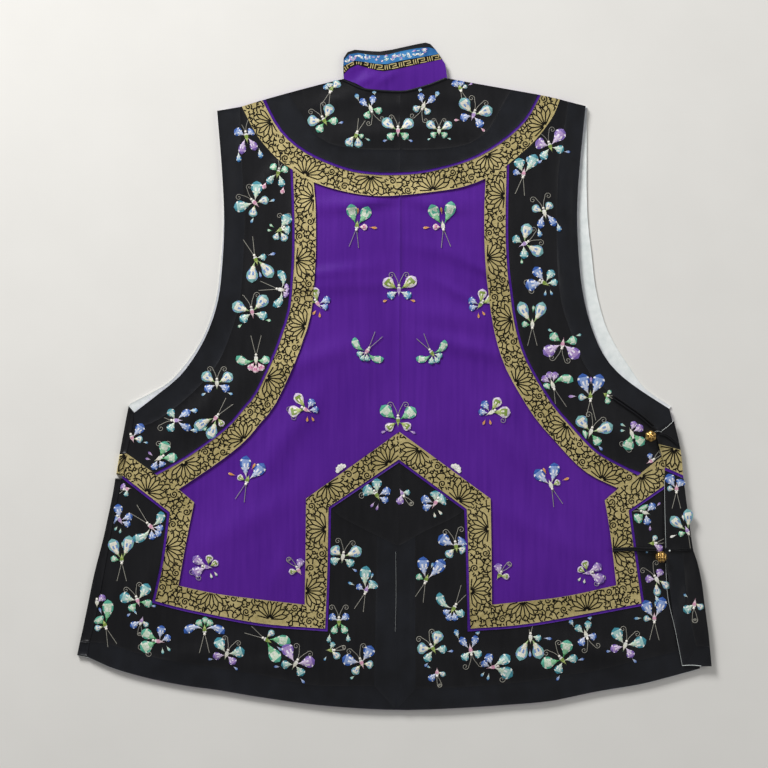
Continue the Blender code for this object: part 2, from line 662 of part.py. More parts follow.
def left_fold():
    """The front's left edge, folded up beside the back: its border, ribbon and hem band."""
    # Pieces: where each starts and ends along the fold, and its finish.
    table = (
        ("side_border_upper", "armhole", "ribbon top", "black_satin"),
        ("side_ribbon", "ribbon top", "ribbon foot", "gold_ribbon"),
        ("side_border_lower", "piping", "hem band", "black_satin"),
        ("side_hem_band", "hem band", "hem", "plain_black_satin"),
    )
    for name, start, end, finish_name in table:
        outline = joined(LEFT_FOLD.part(start, end), SIDE_SEAM.part(end, start))
        cloth(name, outline, finish_name, flat(0), flat(BORDER_TOP), level=True)


def right_wrap():
    """The front's right edge, wrapped over the back's right edge and buttoned there."""
    # Pieces: their outline and finish, and the straight stretch of the back's edge under them.
    table = (
        ("wrap_border_upper", "black_satin", (294.5, -67), (292, -47), joined(
            WRAP_EDGE.part("top", "ribbon top"), RIGHT_FOLD.part("ribbon top", "top"),
        )),
        ("wrap_ribbon", "gold_ribbon", (297, -105.5), (295, -74), joined(
            WRAP_EDGE.part("ribbon top", "corner ribbon foot"),
            RIGHT_FOLD.part("ribbon foot", "ribbon top"),
        )),
        ("wrap_piping", "purple_piping", (297.4, -109), (297, -105.5), joined(
            WRAP_EDGE.part("corner ribbon foot", "corner piping"),
            RIGHT_FOLD.part("piping", "ribbon foot"),
        )),
        ("wrap_border_lower", "black_satin", (318, -282), (297.4, -109), joined(
            WRAP_EDGE.part("corner piping", "band top"), WRAP_BAND_SEAM.part("top", "hem"),
            RIGHT_FOLD.part("hem band", "piping"),
        )),
        ("wrap_band", "plain_black_satin", (318, -282), (297.4, -109), joined(
            WRAP_EDGE.part("band top", "hem"), WRAP_BAND_SEAM.part("hem", "top"),
        )),
        ("wrap_hem_band", "plain_black_satin", (321, -306.5), (318, -282), joined(
            WRAP_EDGE.part("hem", "hem"), WRAP_BAND_SEAM.part("hem", "hem"),
            RIGHT_FOLD.part("hem band", "hem"),
        )),
    )
    for name, finish_name, foot, head, outline in table:
        side = (Vector(head) - Vector(foot)).normalized()
        across = Vector((side.y, -side.x))
        edge = Vector(foot) + across * (GAP / 2)
        cuts = ((edge, across), (edge + across * FOLD_RAMP, across))

        def low(x, y, edge=edge, across=across):
            share = min(max((Vector((x, y)) - edge).dot(across) / FOLD_RAMP, 0), 1)
            return (WRAP_LOW + loft(x, y)) * (1 - share)

        cloth(name, outline, finish_name, low, lofted(WRAP_TOP), cuts)


def collar():
    """The stand collar's back half, with the ribbons and the binding sewn on it."""
    cloth("collar_wall", joined(
        NECK.part("left", "right"), COLLAR_EDGE.part("foot right", "foot left"),
    ), "purple_silk", lofted(GROUND_LOW), lofted(GROUND_LOW + GROUND_WALL))
    on_ground("collar_silk", joined(
        NECK.part("left", "right"), COLLAR_EDGE.part("foot right", "fret right"),
        FRET_LINE.part("right", "left"), COLLAR_EDGE.part("fret left", "foot left"),
    ), "purple_silk")
    on_ground("collar_fret_ribbon", joined(
        FRET_LINE.part("left", "right"), COLLAR_EDGE.part("fret right", "blue right"),
        BLUE_LINE.part("right", "left"), COLLAR_EDGE.part("blue left", "fret left"),
    ), "gold_ribbon")
    on_ground("collar_blue_ribbon", joined(
        BLUE_LINE.part("left", "right"), COLLAR_EDGE.part("blue right", "binding right"),
        BINDING_LINE.part("right", "left"), COLLAR_EDGE.part("binding left", "blue left"),
    ), "blue_ribbon")
    on_ground("collar_binding", joined(
        BINDING_LINE.part("left", "right"), COLLAR_EDGE.part("binding right", "binding left"),
    ), "plain_black_satin")


def fastenings():
    """Two ball buttons on strips of doubled cord, and the loops that hold them."""
    strips = {"button_strip_upper": BUTTON_STRIP_UPPER, "button_strip_lower": BUTTON_STRIP_LOWER}
    for name, path in strips.items():
        outline = strip(path.part("end", "button"), CORD_WIDTH)
        cloth(name, outline, "black_cord", lofted(WRAP_LOW), lofted(WRAP_LOW + CORD_RISE))
    loops = {"button_loop_upper": LOOP_UPPER, "button_loop_lower": LOOP_LOWER}
    for name, path in loops.items():
        outline = strip(path.part("button", "end"), LOOP_WIDTH)
        cloth(name, outline, "black_cord", lofted(LOOP_LOW), lofted(LOOP_LOW + CORD_RISE))
    for name, (x, y) in BUTTONS.items():
        radius = BUTTON_DIAMETER / 2
        shape = bmesh.new()
        bmesh.ops.create_uvsphere(shape, u_segments=16, v_segments=10, radius=radius * MM)
        piece = put(name, shape, "brass")
        piece.location = Vector((x, y, WRAP_LOW + loft(x, y) + radius)) * MM
        piece.data.shade_smooth()


def clear_scene():
    for thing in list(bpy.data.objects):
        bpy.data.objects.remove(thing)
    home = bpy.data.collections.new("waistcoat")
    bpy.context.scene.collection.children.link(home)


clear_scene()
front_panels()
back_ground()
yoke()
armhole_trims()
hem_trims()
left_fold()
right_wrap()
collar()
fastenings()
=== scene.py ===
"""The looks of a silk waistcoat laid flat on its front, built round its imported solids.

Everything is drawn flat, in millimetres, and then lifted onto the cloth that it lies on.
"""

import math
import random

import bmesh
import bpy
import numpy as np
from mathutils import Matrix, Vector, geometry, noise


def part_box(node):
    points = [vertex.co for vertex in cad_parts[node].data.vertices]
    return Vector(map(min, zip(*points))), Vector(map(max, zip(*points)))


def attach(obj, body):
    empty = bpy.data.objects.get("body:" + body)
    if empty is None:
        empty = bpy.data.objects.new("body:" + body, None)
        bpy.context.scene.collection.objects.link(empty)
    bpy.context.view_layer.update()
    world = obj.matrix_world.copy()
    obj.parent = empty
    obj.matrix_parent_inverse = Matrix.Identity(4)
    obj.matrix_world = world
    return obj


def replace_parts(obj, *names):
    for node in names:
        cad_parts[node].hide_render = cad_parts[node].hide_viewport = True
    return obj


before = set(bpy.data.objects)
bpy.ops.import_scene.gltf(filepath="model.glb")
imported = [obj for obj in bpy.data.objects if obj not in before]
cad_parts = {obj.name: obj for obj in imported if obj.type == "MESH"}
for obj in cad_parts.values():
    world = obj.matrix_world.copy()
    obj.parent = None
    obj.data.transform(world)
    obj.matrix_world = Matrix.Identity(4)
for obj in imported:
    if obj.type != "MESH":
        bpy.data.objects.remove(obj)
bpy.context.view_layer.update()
MM = 0.001

# The fronts: two panels of purple silk that lie on the table under the back, the left one
# crossing to the right. Each is cut from one width of silk and lined with cotton, and its
# edges are turned in.

# Soft swells and creases of the cloth: middle, direction in degrees, half sizes and height. A
# crease with a negative height is a hollow.
SWELLS = (
    (-65, 50, 82, 150, 55, 2.4), (78, 40, 98, 150, 55, 2.2), (-150, -180, 25, 90, 55, 1.8),
    (165, -185, -25, 95, 55, 2.0), (5, 150, 0, 80, 45, 1.1), (-45, -275, 88, 60, 40, 1.4),
    (60, -285, 92, 60, 40, 1.2), (6, 322, 0, 36, 26, 1.5),
)
CREASES = (
    (-45, 183, 8, 45, 8, 1.3), (48, 186, -6, 40, 8, 1.1), (-55, 105, 12, 38, 10, 1.0),
    (80, 30, -14, 48, 9, 1.4), (60, 62, -8, 45, 12, 1.0), (-80, 20, 20, 50, 11, 1.1),
    (-110, -60, 55, 60, 12, 1.3), (120, -70, -50, 60, 12, 1.3), (-150, -150, 30, 60, 14, 1.0),
    (150, -160, -28, 60, 14, 1.0), (-30, 20, 86, 70, 9, 0.5), (35, -10, 92, 70, 9, 0.6),
    (-200, -290, 12, 50, 9, 1.3), (-120, -300, 5, 45, 8, 1.2), (110, -300, -4, 50, 8, 1.2),
    (200, -285, -10, 50, 9, 1.3), (-165, 170, 88, 60, 8, 1.0), (180, 180, 92, 60, 8, 1.0),
    (-215, -45, 40, 40, 9, 1.1), (235, -60, -38, 40, 9, 1.1), (-20, 255, 5, 40, 9, 1.0),
    (50, 262, -8, 38, 9, 1.0), (0, 285, 4, 30, 8, 0.9), (-120, -200, 70, 30, 9, 0.8),
    (130, -215, 110, 30, 9, 0.8), (-40, 317, 32, 8, 2.8, -2.6), (-28, 311, 25, 12, 4, 0.7),
    (-10, 312, 30, 16, 4, 0.6), (300, -150, 25, 12, 4, 0.7), (302, -165, 20, 12, 4, 0.6),
    (300, -220, 75, 45, 6, 0.9), (-45, 95, 4, 60, 7, 0.7), (60, 130, -10, 55, 9, 0.8),
    (1.5, -262, 90, 70, 3, -1.4), (12, -262, 89, 80, 5, 1), (-30, 181, 10, 24, 4.5, 1.4),
    (49, 178, -8, 22, 4.5, 1.4), (-70, 110, 8, 30, 5, 1), (95, 112, -22, 30, 5, 1.2),
    (66, 88, -30, 24, 5, 1), (-130, 210, 60, 26, 5, 1), (-192, -20, 75, 26, 4, 1),
    (-170, -25, 80, 24, 4, 1), (190, -10, 100, 26, 5, 1), (-150, 90, 80, 40, 5, 0.8),
    (168, 120, 100, 40, 5, 0.8), (-255, -215, 70, 40, 6, 1), (-40, -265, 84, 40, 5, 1),
    (75, -250, 96, 36, 5, 1), (-60, 290, 15, 26, 5, 1), (78, 288, -18, 26, 5, 1),
)
STRENGTH = 1.8  # of every swell and crease
RIPPLE = 0.5  # how far the cloth is uneven everywhere
RIPPLE_LENGTH = 42.0


def lie(x, y):
    """How far the cloth of the back stands above its lowest, at points given as two arrays."""
    rise = np.zeros(len(x))
    for middle_x, middle_y, degrees, half_length, half_width, height in SWELLS + CREASES:
        turn = math.radians(degrees)
        along = (x - middle_x) * math.cos(turn) + (y - middle_y) * math.sin(turn)
        across = (y - middle_y) * math.cos(turn) - (x - middle_x) * math.sin(turn)
        hill = np.exp(-((along / half_length) ** 2) - (across / half_width) ** 2)
        rise += STRENGTH * height * hill
    uneven = [noise.noise(Vector((a, b, 0)) / RIPPLE_LENGTH) for a, b in zip(x, y)]
    # A crease can't sink into what lies under it.
    return np.maximum(rise, 0) + RIPPLE * (1 + np.array(uneven))


CLOSE = 0.7  # corners nearer than this are one
SAME_POINT = 0.02  # and what the solid's triangles share is nearer than this


def outline_of(node):
    """The corners of a solid's top, in order, in millimetres."""
    shape = bmesh.new()
    shape.from_mesh(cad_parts[node].data)
    under = [face for face in shape.faces if face.normal.z < 0.5]
    bmesh.ops.delete(shape, geom=under, context="FACES")
    for vertex in shape.verts:
        vertex.co = (vertex.co.x / MM, vertex.co.y / MM, 0)
    bmesh.ops.remove_doubles(shape, verts=shape.verts, dist=SAME_POINT)
    bmesh.ops.dissolve_faces(shape, faces=shape.faces)
    (face,) = shape.faces
    corners = [corner.co.xy for corner in face.verts]
    shape.free()
    apart = [b for a, b in zip(corners[-1:] + corners, corners) if (b - a).length > CLOSE]
    turning = sum(a.cross(b) for a, b in zip(apart, apart[1:] + apart[:1]))
    return apart if turning > 0 else apart[::-1]


def let_out(corners, distance):
    """An outline moved outwards all round."""
    grown = []
    for before, here, after in zip(corners[-1:] + corners, corners, corners[1:] + corners[:1]):
        along = (here - before).normalized() + (after - here).normalized()
        grown.append(here + Vector((along.y, -along.x)).normalized() * distance)
    return grown


SHARP = 55  # degrees between two faces, from which on the edge between them shows


def put(name, shape, material, height, level=False):
    """Lifts a flat drawing onto cloth at that height, and adds it to the garment."""
    if level:
        rise = np.zeros(len(shape.verts))
    else:
        places = np.array([vertex.co.xy for vertex in shape.verts])
        rise = lie(places[:, 0], places[:, 1])
    for vertex, up in zip(shape.verts, rise):
        vertex.co.z += height + up
        vertex.co *= MM
    mesh = bpy.data.meshes.new(name)
    shape.to_mesh(mesh)
    shape.free()
    mesh.materials.append(material)
    mesh.shade_smooth()
    mesh.set_sharp_from_angle(angle=math.radians(SHARP))
    piece = bpy.data.objects.new(name, mesh)
    bpy.context.scene.collection.objects.link(piece)
    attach(piece, "root")
    return piece


# How the edge of a piece turns down into its seam: distance from the edge, and drop there.
SEWN_EDGE = ((0.0, -0.8), (0.7, -0.25), (2.1, 0.0))


def turned_in(corners, edge, wall, seam=0.0, cell=None):
    """A closed shape in an outline let out by seam: its top goes down at the edges, and is cut
    into squares of cell so that it can bend. Its underside lies at -wall."""
    shape = bmesh.new()
    outline = let_out(corners, seam) if seam else corners
    shape.faces.new([shape.verts.new(corner.to_3d()) for corner in outline])
    inner = shape.faces[:]
    inset, drop = edge[0]
    for vertex in shape.verts:
        vertex.co.z = drop
    for further, drop in edge[1:]:
        old = set(shape.verts)
        bmesh.ops.inset_region(
            shape, faces=inner, thickness=further - inset, use_even_offset=True, use_boundary=True
        )
        for vertex in shape.verts:
            if vertex not in old:
                vertex.co.z = drop
        inset = further
    if cell:
        for axis in (Vector((1, 0, 0)), Vector((0, 1, 0))):
            along = [corner.to_3d().dot(axis) for corner in corners]
            for line in range(math.ceil(min(along) / cell), math.floor(max(along) / cell) + 1):
                bmesh.ops.bisect_plane(
                    shape,
                    geom=shape.verts[:] + shape.edges[:] + shape.faces[:],
                    dist=0.01,
                    plane_co=axis * line * cell,
                    plane_no=axis,
                )
    many_sided = [face for face in shape.faces if len(face.verts) > 4 or not cell]
    bmesh.ops.triangulate(shape, faces=many_sided)
    raised = bmesh.ops.extrude_face_region(shape, geom=shape.faces[:])["geom"]
    top_corners = {item for item in raised if isinstance(item, bmesh.types.BMVert)}
    for vertex in shape.verts:
        if vertex not in top_corners:
            vertex.co.z = -wall
    bmesh.ops.recalc_face_normals(shape, faces=shape.faces)
    return shape


SEAM = 0.14  # each piece reaches so far into the seam beside it that nothing shows through


def cloth(
    node, material, top, wall, edge=SEWN_EDGE, cell=6.0, level=False
):
    """One piece of cloth in its solid's place."""
    corners = outline_of(node)
    shape = turned_in(corners, edge, wall, SEAM, cell)
    piece = put(node + "_cloth", shape, material, top, level)
    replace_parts(piece, node)


def linear(code):
    """An sRGB hex colour as linear light, for a shader."""
    channels = [int(code[i : i + 2], 16) / 255 for i in (1, 3, 5)]
    light = [c / 12.92 if c <= 0.04045 else ((c + 0.055) / 1.055) ** 2.4 for c in channels]
    return (*light, 1)


def add(tree, kind, inputs=(), **settings):
    """Adds a node: its settings by name, and its inputs as values or other nodes' outputs."""
    node = tree.nodes.new(kind)
    for name, value in settings.items():
        setattr(node, name, value)
    for name, value in dict(inputs).items():
        if isinstance(value, bpy.types.NodeSocket):
            tree.links.new(value, node.inputs[name])
        else:
            node.inputs[name].default_value = value
    return node


def blank(name, roughness, **constants):
    """A new material's tree and shader, with the shader's constant values."""
    material = bpy.data.materials.new(name)
    material.use_nodes = True
    tree = material.node_tree
    shader = tree.nodes["Principled BSDF"]
    shader.inputs["Roughness"].default_value = roughness
    for socket, value in constants.items():
        shader.inputs[socket.replace("_", " ")].default_value = value
    return material, tree, shader


WAVE_BAND = 0.314  # metres between a wave texture's bands at scale 1
CLOUDS = 14.0  # the dye's own unevenness, in patches about 70 mm wide
DARKEST, LIGHTEST = 0.35, 0.65  # where noise gives the darker and the lighter colour


def woven(name, dark, light, streak, thread, depth, roughness, **constants):
    """A woven silk or cotton: its colour varies along the warp, and its threads cross."""
    material, tree, shader = blank(name, roughness, **constants)
    place = add(tree, "ShaderNodeTexCoord").outputs["Object"]
    stretched = add(tree, "ShaderNodeMapping", {"Vector": place, "Scale": streak})
    streaks = add(
        tree, "ShaderNodeTexNoise", {"Vector": stretched.outputs[0], "Scale": 1.0, "Detail": 3.0}
    )
    cloudy = add(tree, "ShaderNodeTexNoise", {"Vector": place, "Scale": CLOUDS, "Detail": 4.0})
    mixed = add(tree, "ShaderNodeMix", {2: streaks.outputs[0], 3: cloudy.outputs[0]})
    ramp = add(tree, "ShaderNodeValToRGB", {0: mixed.outputs[0]})
    for end, position, colour in zip(ramp.color_ramp.elements, (DARKEST, LIGHTEST), (dark, light)):
        end.position = position
        end.color = linear(colour)
    tree.links.new(ramp.outputs[0], shader.inputs["Base Color"])
    threads = [
        add(
            tree, "ShaderNodeTexWave", {"Vector": place, "Scale": WAVE_BAND / thread},
            bands_direction=direction,
        )
        for direction in "XY"
    ]
    crossed = add(
        tree, "ShaderNodeMath", {i: threads[i].outputs[1] for i in (0, 1)}, operation="MULTIPLY"
    )
    bump = add(
        tree, "ShaderNodeBump",
        {"Height": crossed.outputs[0], "Strength": depth, "Distance": thread / 3},
    )
    tree.links.new(bump.outputs[0], shader.inputs["Normal"])
    return material


# Silk satin, dyed purple: a soft sheen along its folds. Real threads are 0.2 mm apart, drawn
# at 0.9 mm so that they show.
purple_silk = woven(
    "purple_silk_satin", "#4C1A86", "#572292", (260, 12, 260), 0.0009, 0.25, 0.5,
    Specular_IOR_Level=0.12,
)
# Plain cotton, bleached and a little grey with age: quite matt. Threads of 0.4 mm, drawn at 1.
cotton = woven(
    "bleached_cotton", "#D8DFDD", "#F0F3F1", (120, 120, 120), 0.001, 0.4, 0.85,
)
FRONT_TOP = 1.2
LINED = 1.2  # how thick silk with its lining is
WIDE_CELL = 14.0  # where the cloth lies flat, it needs few faces
LINING_CELL = 5.0
TURNED_HEM = ((0.0, -0.9), (0.6, -0.3), (1.6, 0.0))
for node in ("front_overlap", "front_underlap", "collar_front"):
    cloth(node, purple_silk, FRONT_TOP, LINED, TURNED_HEM, WIDE_CELL, level=True)
for node in ("front_lining_left", "front_lining_right"):
    cloth(node, cotton, FRONT_TOP, LINED, TURNED_HEM, LINING_CELL, level=True)

# The back's ground: purple silk in two halves, joined by the centre seam and lined with cotton.
# It shows between the ribbons.
GROUND_TOP = 2.7
PULLED_SEAM = ((0.0, -1.1), (0.8, -0.75), (3.0, 0.0))
CREASED_CELL = 4.0
SIDES = ("left", "right")
for side in SIDES:
    cloth(
        "back_ground_" + side, purple_silk, GROUND_TOP, LINED, PULLED_SEAM,
        CREASED_CELL,
    )

# The borders: black satin, embroidered with butterflies in coloured silks before it was cut and
# sewn onto the ground.

# Silk satin: long floats give it a broad soft gleam. Real floats are 0.2 mm wide, drawn at 0.9.
black_satin = woven(
    "black_silk_satin", "#0E0E11", "#161619", (160, 30, 160), 0.0009, 0.2, 0.4,
    Specular_IOR_Level=0.25,
)
BORDER_TOP = 4.0
SEWN_ON = 1.0  # how thick a piece sewn onto the ground is
for form in ("yoke_border", "armhole_border", "hem_border", "gore"):
    for side in SIDES:
        cloth(
            f"{form}_{side}", black_satin, BORDER_TOP, SEWN_ON,
        )

# The plain bands outside the borders: a heavier black satin on the bias, turned under along
# both edges.

# The same satin without embroidery, a little bluer and glossier, its floats drawn as coarse.
plain_satin = woven(
    "plain_black_satin", "#0F1014", "#191B21", (60, 40, 60), 0.0009, 0.2, 0.36,
    Specular_IOR_Level=0.3,
)
FOLDED_EDGE = ((0.0, -1.0), (0.9, -0.3), (2.6, 0.0))
for form in ("yoke_band", "armhole_band", "hem_band", "vent_band"):
    for side in SIDES:
        cloth(
            f"{form}_{side}", plain_satin, BORDER_TOP, SEWN_ON,
            FOLDED_EDGE,
        )

# The woven ribbon: flat gilt thread on a black silk warp, which shows as the outlines of
# scrolls, leaves and chrysanthemums. It is mitred at each corner and sewn down along both edges.

# Gilt thread round a silk core: dull gold, brighter where it turns to the light. Real threads
# are 0.3 mm apart, drawn at 0.9 mm.
gilt_ribbon = woven(
    "gilt_thread_ribbon", "#A2935E", "#C6B680", (260, 260, 260), 0.0009, 0.5, 0.42,
    Metallic=0.2, Specular_IOR_Level=0.3,
)
RIBBON_EDGE = ((0.0, -0.45), (0.5, -0.1), (1.3, 0.0))
RIBBONS = (
    "yoke_ribbon", "armhole_ribbon_left", "armhole_ribbon_right", "hem_ribbon_left",
    "hem_ribbon_right",
)
for node in RIBBONS:
    cloth(
        node, gilt_ribbon, BORDER_TOP, SEWN_ON, RIBBON_EDGE,
    )

# The ribbon's pattern: outlines where the gilt thread leaves the black silk warp bare. They are
# woven in, one repeat of 132 mm after another along each ribbon.
REPEAT = 132.0
HALF_RIBBON = 11.2
OUTLINE_WIDTH = 1.25
# Half chrysanthemums that grow from the ribbon's edges: foot, size, first and last direction.
HALF_FLOWERS = (((20.0, -9.0), 18.5, 6, 174), ((87.0, 9.5), 18.0, 186, 354))
PETALS = 8
SCROLLS = (
    ((44.0, 5.6), 200, 1), ((61.5, -5.4), 20, 1), ((111.0, 5.2), 150, -1), ((126.5, -6.0), 330, -1),
)
SCROLL_SIZE = 3.9


def round_from(centre, distance, turn):
    """The point at a distance and direction, in radians, from a centre."""
    return Vector(centre) + Vector((math.cos(turn), math.sin(turn))) * distance


def scroll(centre, start, sense, size, turns=1.5, steps=18):
    """A curl that starts at its outside and winds inwards."""
    points = []
    for step in range(steps + 1):
        share = step / steps
        turn = math.radians(start) + sense * share * turns * 2 * math.pi
        points.append(round_from(centre, size * (1 - 0.85 * share), turn))
    return points


def half_flower(centre, size, first, last):
    """Pointed petals that spread from a chrysanthemum's heart."""
    lines, tips = [], []
    step = math.radians(last - first) / PETALS
    for petal_number in range(PETALS + 1):
        turn = math.radians(first) + step * petal_number
        lines.append([round_from(centre, size * share, turn) for share in (0.07, 0.4, 0.72)])
        if petal_number < PETALS:
            for share in (0.0, 0.25, 0.5, 0.75):
                reach = size * (0.72 + 0.28 * (1 - abs(2 * share - 1)))
                tips.append(round_from(centre, reach, turn + step * share))
    lines.append(tips)
    return lines


LEAF_COLUMNS, LEAF_ROWS = 20, 5
OFF_ALONG, OFF_ACROSS = 0.38, 0.34  # how far a leaf lies off its column and row, at most
BOWED = 0.35
LEAVES_ACROSS = 2.5  # how far the rows of leaves reach, in half ribbons
MIRRORED_AT = 1.6  # where seeds beyond the ribbon are mirrored, in half ribbons
REACH = 40.0  # of the lines drawn to find where two bisectors cross
LONGEST_LEAF = 14.0
NOTCHED = 3.0  # a leaf's edge longer than this may have a notch


def leaf_edges():
    """The edges of the leaves that fill the ground between flowers and scrolls: they divide it
    into cells of 5 to 8 mm, bent like leaves, with a notch in from most of them."""
    chance = random.Random(7)
    seeds = []
    for column in range(LEAF_COLUMNS):
        for row in range(LEAF_ROWS):
            shift = column + 0.5 + chance.uniform(-OFF_ALONG, OFF_ALONG) + 0.5 * (row % 2)
            across = row - (LEAF_ROWS - 1) / 2 + chance.uniform(-OFF_ACROSS, OFF_ACROSS)
            across *= LEAVES_ACROSS * HALF_RIBBON / LEAF_ROWS
            seeds.append(Vector((shift * REPEAT / LEAF_COLUMNS, across)))
    spread = [seed + Vector((shift * REPEAT, 0)) for shift in (-1, 0, 1) for seed in seeds]
    mirror = MIRRORED_AT * HALF_RIBBON
    spread += [Vector((seed.x, side * 2 * mirror - seed.y)) for seed in spread for side in (-1, 1)]
    places, _, faces, *_ = geometry.delaunay_2d_cdt(spread, [], [], 0, 0.001)
    middles = {}
    for face in faces:
        a, b, c = (places[corner] for corner in face)
        bisectors = []
        for start, end in ((a, b), (b, c)):
            away = (end - start).orthogonal() * REACH
            bisectors += [(start + end) / 2 - away, (start + end) / 2 + away]
        middle = geometry.intersect_line_line_2d(*bisectors)
        for edge in zip(face, (*face[1:], face[0])):
            middles.setdefault(frozenset(edge), []).append(middle)
    lines = []
    for ends in middles.values():
        if len(ends) < 2 or None in ends or not 0 <= (ends[0].x + ends[1].x) / 2 < REPEAT:
            continue
        start, end = sorted(ends, key=lambda point: (point.x, point.y))
        if (end - start).length > LONGEST_LEAF:
            continue
        bow = (end - start).orthogonal() * chance.uniform(-BOWED, BOWED)
        stop = chance.choice((0.8, 1.0, 1.0, 1.0))
        line = [
            start.lerp(end, share * stop) + bow * 4 * share * stop * (1 - share * stop)
            for share in (0, 0.33, 0.67, 1)
        ]
        lines.append(line)
        if (end - start).length > NOTCHED and chance.random() < 0.55:
            inwards = (end - start).orthogonal().normalized() * chance.choice((-1, 1))
            slant = (end - start).normalized() * chance.uniform(-0.8, 0.8)
            foot = line[1].lerp(line[2], chance.random())
            lines.append([foot, foot + inwards * 1.1 + slant * 0.4, foot + inwards * 2.3 + slant])
    return lines


def free_of(line, centre, size):
    """The stretches of a line that lie outside a round place."""
    stretches = [[]]
    for point in line:
        if (point - Vector(centre)).length > size:
            stretches[-1].append(point)
        elif stretches[-1]:
            stretches.append([])
    return [stretch for stretch in stretches if len(stretch) > 1]


def finely(line, step):
    """A line with a point at least every step."""
    points = [line[0]]
    for start, end in zip(line, line[1:]):
        count = max(1, math.ceil((end - start).length / step))
        points += [start.lerp(end, k / count) for k in range(1, count + 1)]
    return points


# Leaves leave room for the flowers and scrolls.
LEAF_STEP, FLOWER_STEP = 0.9, 1.6
weave = [finely(line, LEAF_STEP) for line in leaf_edges()]
rooms = [(centre, size * 0.95) for centre, size, *_ in HALF_FLOWERS]
rooms += [(centre, SCROLL_SIZE + 0.5) for centre, *_ in SCROLLS]
for room in rooms:
    weave = [stretch for line in weave for stretch in free_of(line, *room)]
for flower in HALF_FLOWERS:
    weave += [finely(line, FLOWER_STEP) for line in half_flower(*flower)]
for centre, start, sense in SCROLLS:
    weave.append(scroll(centre, start, sense, SCROLL_SIZE))


def smooth(rows, step):
    """A smooth curve through points, with a point about every step."""
    spots = [Vector(row) for row in rows]
    ends = [2 * spots[0] - spots[1], *spots, 2 * spots[-1] - spots[-2]]
    points = [spots[0]]
    for before, start, end, after in zip(ends, ends[1:], ends[2:], ends[3:]):
        count = max(1, round((end - start).length / step))
        for k in range(1, count + 1):
            t = k / count
            points.append(0.5 * (
                2 * start + (end - before) * t + (2 * before - 5 * start + 4 * end - after) * t * t
                + (3 * start - before - 3 * end + after) * t**3
            ))
    return points


def beside(path, along, across):
    """The point at a distance along a path, and at another to its left."""
    for start, end in zip(path, path[1:]):
        step = (end - start).length
        if along <= step or end is path[-1]:
            ahead = (end - start) / step
            return start + ahead * along + Vector((-ahead.y, ahead.x)) * across
        along -= step


def inside(points, corners):
    """Which points of an array lie inside an outline."""
    within = np.zeros(len(points), bool)
    x, y = points[:, 0], points[:, 1]
    for a, b in zip(corners, corners[1:] + corners[:1]):
        if a.y != b.y:
            reach = (b.x - a.x) * (y - a.y) / (b.y - a.y) + a.x
            within ^= ((a.y > y) != (b.y > y)) & (x < reach)
    return within


def kept(lines, corners, margin, mitres=()):
    """The stretches of lines that lie inside an outline, and on the right side of mitres."""
    points = np.array([point for line in lines for point in line])
    good = np.ones(len(points), bool)
    for offset in ((margin, 0), (-margin, 0), (0, margin), (0, -margin)):
        good &= inside(points + np.array(offset), corners)
    for place, towards in mitres:
        good &= (points - np.array(place)) @ np.array(towards) > 0
    stretches, index = [], 0
    for line in lines:
        stretch = []
        for point in line:
            if good[index]:
                stretch.append(point)
            else:
                stretches.append(stretch)
                stretch = []
            index += 1
        stretches.append(stretch)
    return [stretch for stretch in stretches if len(stretch) > 1]


def tube(shape, points, half_width, half_height, sides=4):
    """Adds one closed thread or cord along points in the drawing."""
    rings = []
    for i, here in enumerate(points):
        ahead = points[min(i + 1, len(points) - 1)] - points[max(i - 1, 0)]
        left = Vector((-ahead.y, ahead.x, 0)).normalized()
        ring = []
        for k in range(sides):
            turn = 2 * math.pi * k / sides
            spot = here + left * math.cos(turn) * half_width
            spot.z += math.sin(turn) * half_height
            ring.append(shape.verts.new(spot))
        rings.append(ring)
    for a, b in zip(rings, rings[1:]):
        for k in range(sides):
            shape.faces.new((a[k - 1], a[k], b[k], b[k - 1]))
    shape.faces.new(rings[0][::-1])
    shape.faces.new(rings[-1])


# Each ribbon's middle line, half its width, and whether it is mitred at its corners.
RIBBON_LINES = {
    "yoke_ribbon": ((
        (-149, 287), (-132.5, 256), (-108, 231.5), (-78, 214), (-44.5, 203.5), (-9.5, 200),
        (25, 202.5), (59.5, 208), (92.5, 219.5), (122, 238.5), (147, 263), (164, 293),
    ), 11.2, False),
    "armhole_ribbon_left": ((
        (-95.5, 217.5), (-93.5, 174), (-93.5, 130.5), (-96, 87), (-105, 45), (-121, 4.5),
        (-142, -33.5), (-171, -65.5), (-206, -91.5), (-243.5, -113.5),
    ), 11.2, False),
    "armhole_ribbon_right": ((
        (107, 222), (106, 178), (106, 134.5), (109.5, 91), (116.5, 48), (130.5, 7),
        (152.5, -30.5), (180.5, -64), (212.5, -94), (251, -114),
    ), 11.2, False),
    "hem_ribbon_left": ((
        (-282.8, -92.5), (-222.8, -137.2), (-238.8, -227.5), (-83.2, -252), (-80.8, -132.5),
        (5.2, -72.5),
    ), 12.0, True),
    "hem_ribbon_right": ((
        (296, -89.8), (233.5, -135.2), (246.2, -228.5), (91, -252), (88.5, -133.5), (5.2, -72.5),
    ), 12.0, True),
    "side_ribbon": (((-305, -78), (-270, -103)), 12.0, False),
    "wrap_ribbon": (((262, -77), (320, -95)), 12.4, False),
}
# Black silk warp: dull and soft. Real threads are 0.2 mm apart, drawn at 0.9 mm.
black_warp = woven(
    "black_silk_warp", "#0B0906", "#15110B", (400, 400, 400), 0.0009, 0.2, 0.6,
    Specular_IOR_Level=0.1,
)


